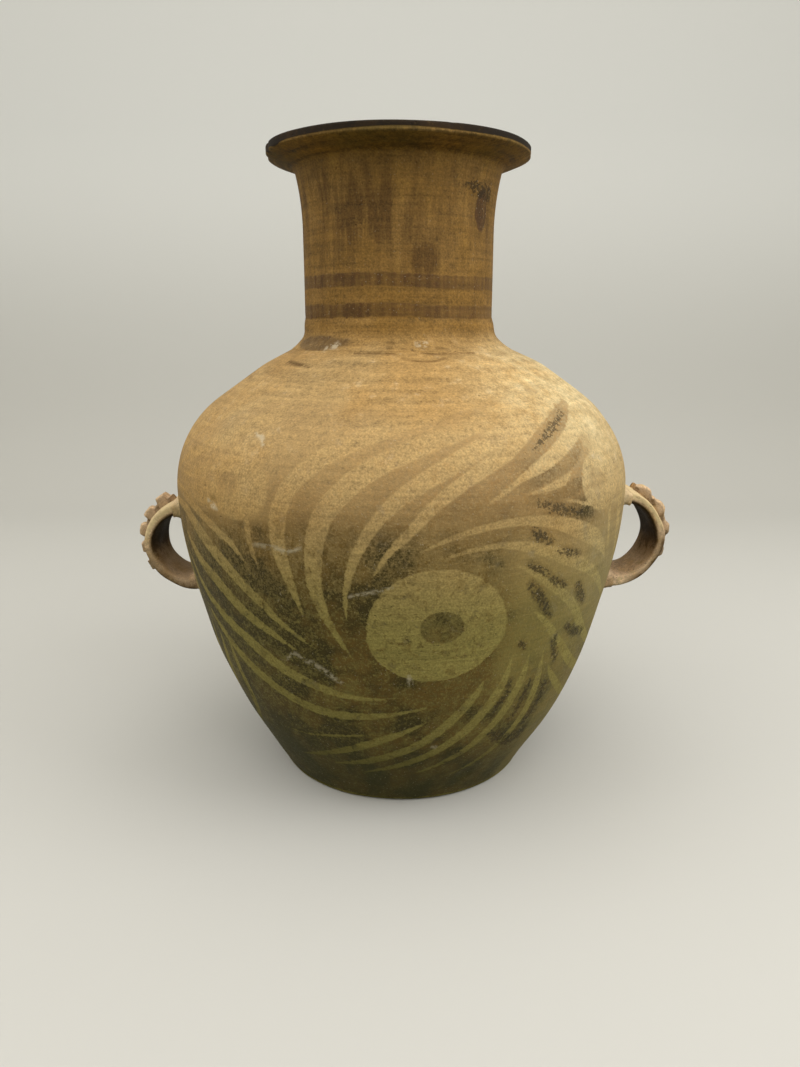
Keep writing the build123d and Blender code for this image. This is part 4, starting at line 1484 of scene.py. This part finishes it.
class JAR_OT_handle_pads(bpy.types.Operator):
    """Luting clay smoothed round the four handle ends"""

    bl_idname = "jar.handle_pads"
    bl_label = "Handle pads"

    def execute(self, context):
        scene = context.scene
        handles = scene.jar_handles
        finish = handle_finish(scene.jar_colours)
        count, hollow_points = 72, 10
        turns = np.linspace(0.0, 90.0, hollow_points)
        out = np.concatenate([1.0 - np.cos(np.radians(turns)), [1.0, -0.35, -0.35]])
        lift = np.concatenate([1.0 - np.sin(np.radians(turns)), [-0.4, -0.4, 1.0]])
        thick = handles.thickness + handles.root_swell
        section = rounded_bar(thick, handles.width * 1.1, count)
        facing = np.roll(section, -1, 0) - np.roll(section, 1, 0)
        facing = np.column_stack([facing[:, 1], -facing[:, 0]]) / np.hypot(*facing.T)[:, None]
        for seed, side in ((121, "left"), (131, "right")):
            handle = Handle(side, scene.jar_sizes, handles)
            for name, end in (("upper", 1.0), ("lower", -1.0)):
                node = f"{side}_handle_{name}_pad"
                bpy.ops.object.select_all(action="DESELECT")
                bpy.ops.mesh.primitive_torus_add(major_segments=count, minor_segments=len(out))
                pad = bpy.context.object
                pad.name = pad.data.name = f"fired_{node}"
                spread = out[None, :] * handles.pad_reach
                high = np.repeat(lift[None, :] * handles.pad_height, count, 0)
                along = section[:, :1] + facing[:, :1] * spread
                across = section[:, 1:] + facing[:, 1:] * spread
                bend = np.sqrt(np.maximum(handle.loop**2 - high**2, 0.0))
                places = handle.on_wall(across.ravel(), (end * (bend + along)).ravel(), high.ravel())
                move_spots(pad, roughened(places, seed + int(end), size=0.014, depth=0.0005))
                # Painted highlight on the upper pads, light painted shade on the lower ones.
                note(pad, "hollow", np.full(len(places), -0.4 if name == "upper" else 0.2))
                close_up()
                dress(pad, node, finish)
        return {"FINISHED"}


class JAR_OT_stage(bpy.types.Operator):
    """Pale floor and backdrop, soft lights and the camera"""

    bl_idname = "jar.stage"
    bl_label = "Stage"

    def execute(self, context):
        scene = context.scene
        stage = scene.jar_stage
        self.backdrop(stage)
        for name, place, aim, size, setting in LAMPS:
            self.light(name, place, aim, size, getattr(stage, setting))
        self.sky(scene, stage)
        self.camera(scene, stage)
        scene.view_settings.view_transform = "Standard"
        return {"FINISHED"}

    @staticmethod
    def backdrop(stage):
        """Floor that sweeps up behind the jar."""
        bpy.ops.object.select_all(action="DESELECT")
        bpy.ops.mesh.primitive_plane_add(size=FLOOR_SIZE, location=FLOOR_MIDDLE)
        floor = bpy.context.object
        floor.name = floor.data.name = "floor"
        bpy.ops.object.transform_apply(location=True, rotation=False, scale=False)
        for edge in floor.data.edges:
            edge.select = all(floor.data.vertices[index].co.y > 1.0 for index in edge.vertices)
        for vertex in floor.data.vertices:
            vertex.select = vertex.co.y > 1.0
        bpy.ops.object.mode_set(mode="EDIT")
        bpy.ops.mesh.select_mode(type="EDGE")
        bpy.ops.mesh.extrude_edges_move(TRANSFORM_OT_translate={"value": (0.0, 0.0, BACKDROP_HEIGHT)})
        bpy.ops.mesh.select_mode(type="VERT")
        bpy.ops.object.mode_set(mode="OBJECT")
        bevel = floor.modifiers.new("sweep", "BEVEL")
        bevel.width, bevel.segments, bevel.angle_limit = BACKDROP_SWEEP, 24, math.radians(30.0)
        bpy.ops.object.modifier_apply(modifier=bevel.name)
        bpy.ops.object.shade_smooth()
        finish, place, shader = new_finish("pale_floor")
        seen = place.add("ShaderNodeLightPath", None, None, "Is Camera Ray")
        for ray in ("Is Glossy Ray", "Is Transmission Ray"):
            seen = seen.math("MAXIMUM", place.add("ShaderNodeLightPath", None, None, ray))
        wall = place.part(2).ease(0.1, 0.7)
        tone = plain_colour(place, stage.bounce).tint(seen.math("MAXIMUM", wall), stage.floor)
        place.tree.links.new(tone.socket, shader.inputs["Base Color"])
        glow = plain_colour(place, (0.0, 0.0, 0.0)).tint(wall * stage.wall_glow, stage.floor)
        place.tree.links.new(glow.socket, shader.inputs["Emission Color"])
        shader.inputs["Emission Strength"].default_value = 1.0
        shader.inputs["Roughness"].default_value = 0.9
        shader.inputs["Specular IOR Level"].default_value = 0.1
        floor.data.materials.append(finish)

    @staticmethod
    def light(name, place, aim, size, watts):
        """Square soft box aimed at a point."""
        lamp = bpy.data.lights.new(name, "AREA")
        lamp.shape, lamp.size, lamp.energy = "SQUARE", size, watts
        box = bpy.data.objects.new(name, lamp)
        bpy.context.scene.collection.objects.link(box)
        away = Vector(place) - Vector(aim)
        box.location = place
        box.rotation_euler = away.to_track_quat("Z", "Y").to_euler()

    @staticmethod
    def sky(scene, stage):
        """Even light from all round."""
        world = bpy.data.worlds.new("soft_sky")
        world.use_nodes = True
        background = world.node_tree.nodes["Background"]
        background.inputs["Color"].default_value = (*stage.sky, 1.0)
        background.inputs["Strength"].default_value = stage.sky_strength
        scene.world = world

    @staticmethod
    def camera(scene, stage):
        """Camera at the height and tilt of the view that the jar was measured from."""
        lens = bpy.data.cameras.new("front_view")
        lens.lens = stage.lens
        camera = bpy.data.objects.new("front_view", lens)
        camera.location = (-stage.camera_left, -stage.camera_distance, stage.camera_height)
        camera.rotation_euler = (math.pi / 2 - stage.camera_tilt, 0.0, 0.0)
        scene.collection.objects.link(camera)
        scene.camera = camera


OPERATORS = (
    JAR_OT_floor,
    JAR_OT_wall_rings,
    JAR_OT_neck_rings,
    JAR_OT_rim,
    JAR_OT_handle_straps,
    JAR_OT_handle_ridges,
    JAR_OT_handle_pads,
    JAR_OT_stage,
)
GROUPS = {
    "jar_sizes": JarSizes,
    "jar_handles": HandleSizes,
    "jar_colours": JarColours,
    "jar_stage": StageSettings,
}


class JAR_PT_panel(bpy.types.Panel):
    """Steps that build the jar, in order"""

    bl_idname = "JAR_PT_panel"
    bl_label = "Painted jar"
    bl_space_type = "VIEW_3D"
    bl_region_type = "UI"
    bl_category = "Jar"

    def draw(self, context):
        for operator in OPERATORS:
            self.layout.operator(operator.bl_idname)


CLASSES = (*GROUPS.values(), *OPERATORS, JAR_PT_panel)


def register():
    """Makes the sizes, colours and steps known to the program."""
    for kind in CLASSES:
        bpy.utils.register_class(kind)
    for name, group in GROUPS.items():
        setattr(bpy.types.Scene, name, PointerProperty(type=group))


def unregister():
    """Takes them away again."""
    for name in GROUPS:
        delattr(bpy.types.Scene, name)
    for kind in reversed(CLASSES):
        bpy.utils.unregister_class(kind)


def main():
    """Builds the jar and its stage."""
    register()
    for operator in OPERATORS:
        family, step = operator.bl_idname.split(".")
        getattr(getattr(bpy.ops, family), step)()


if __name__ == "__main__":
    main()
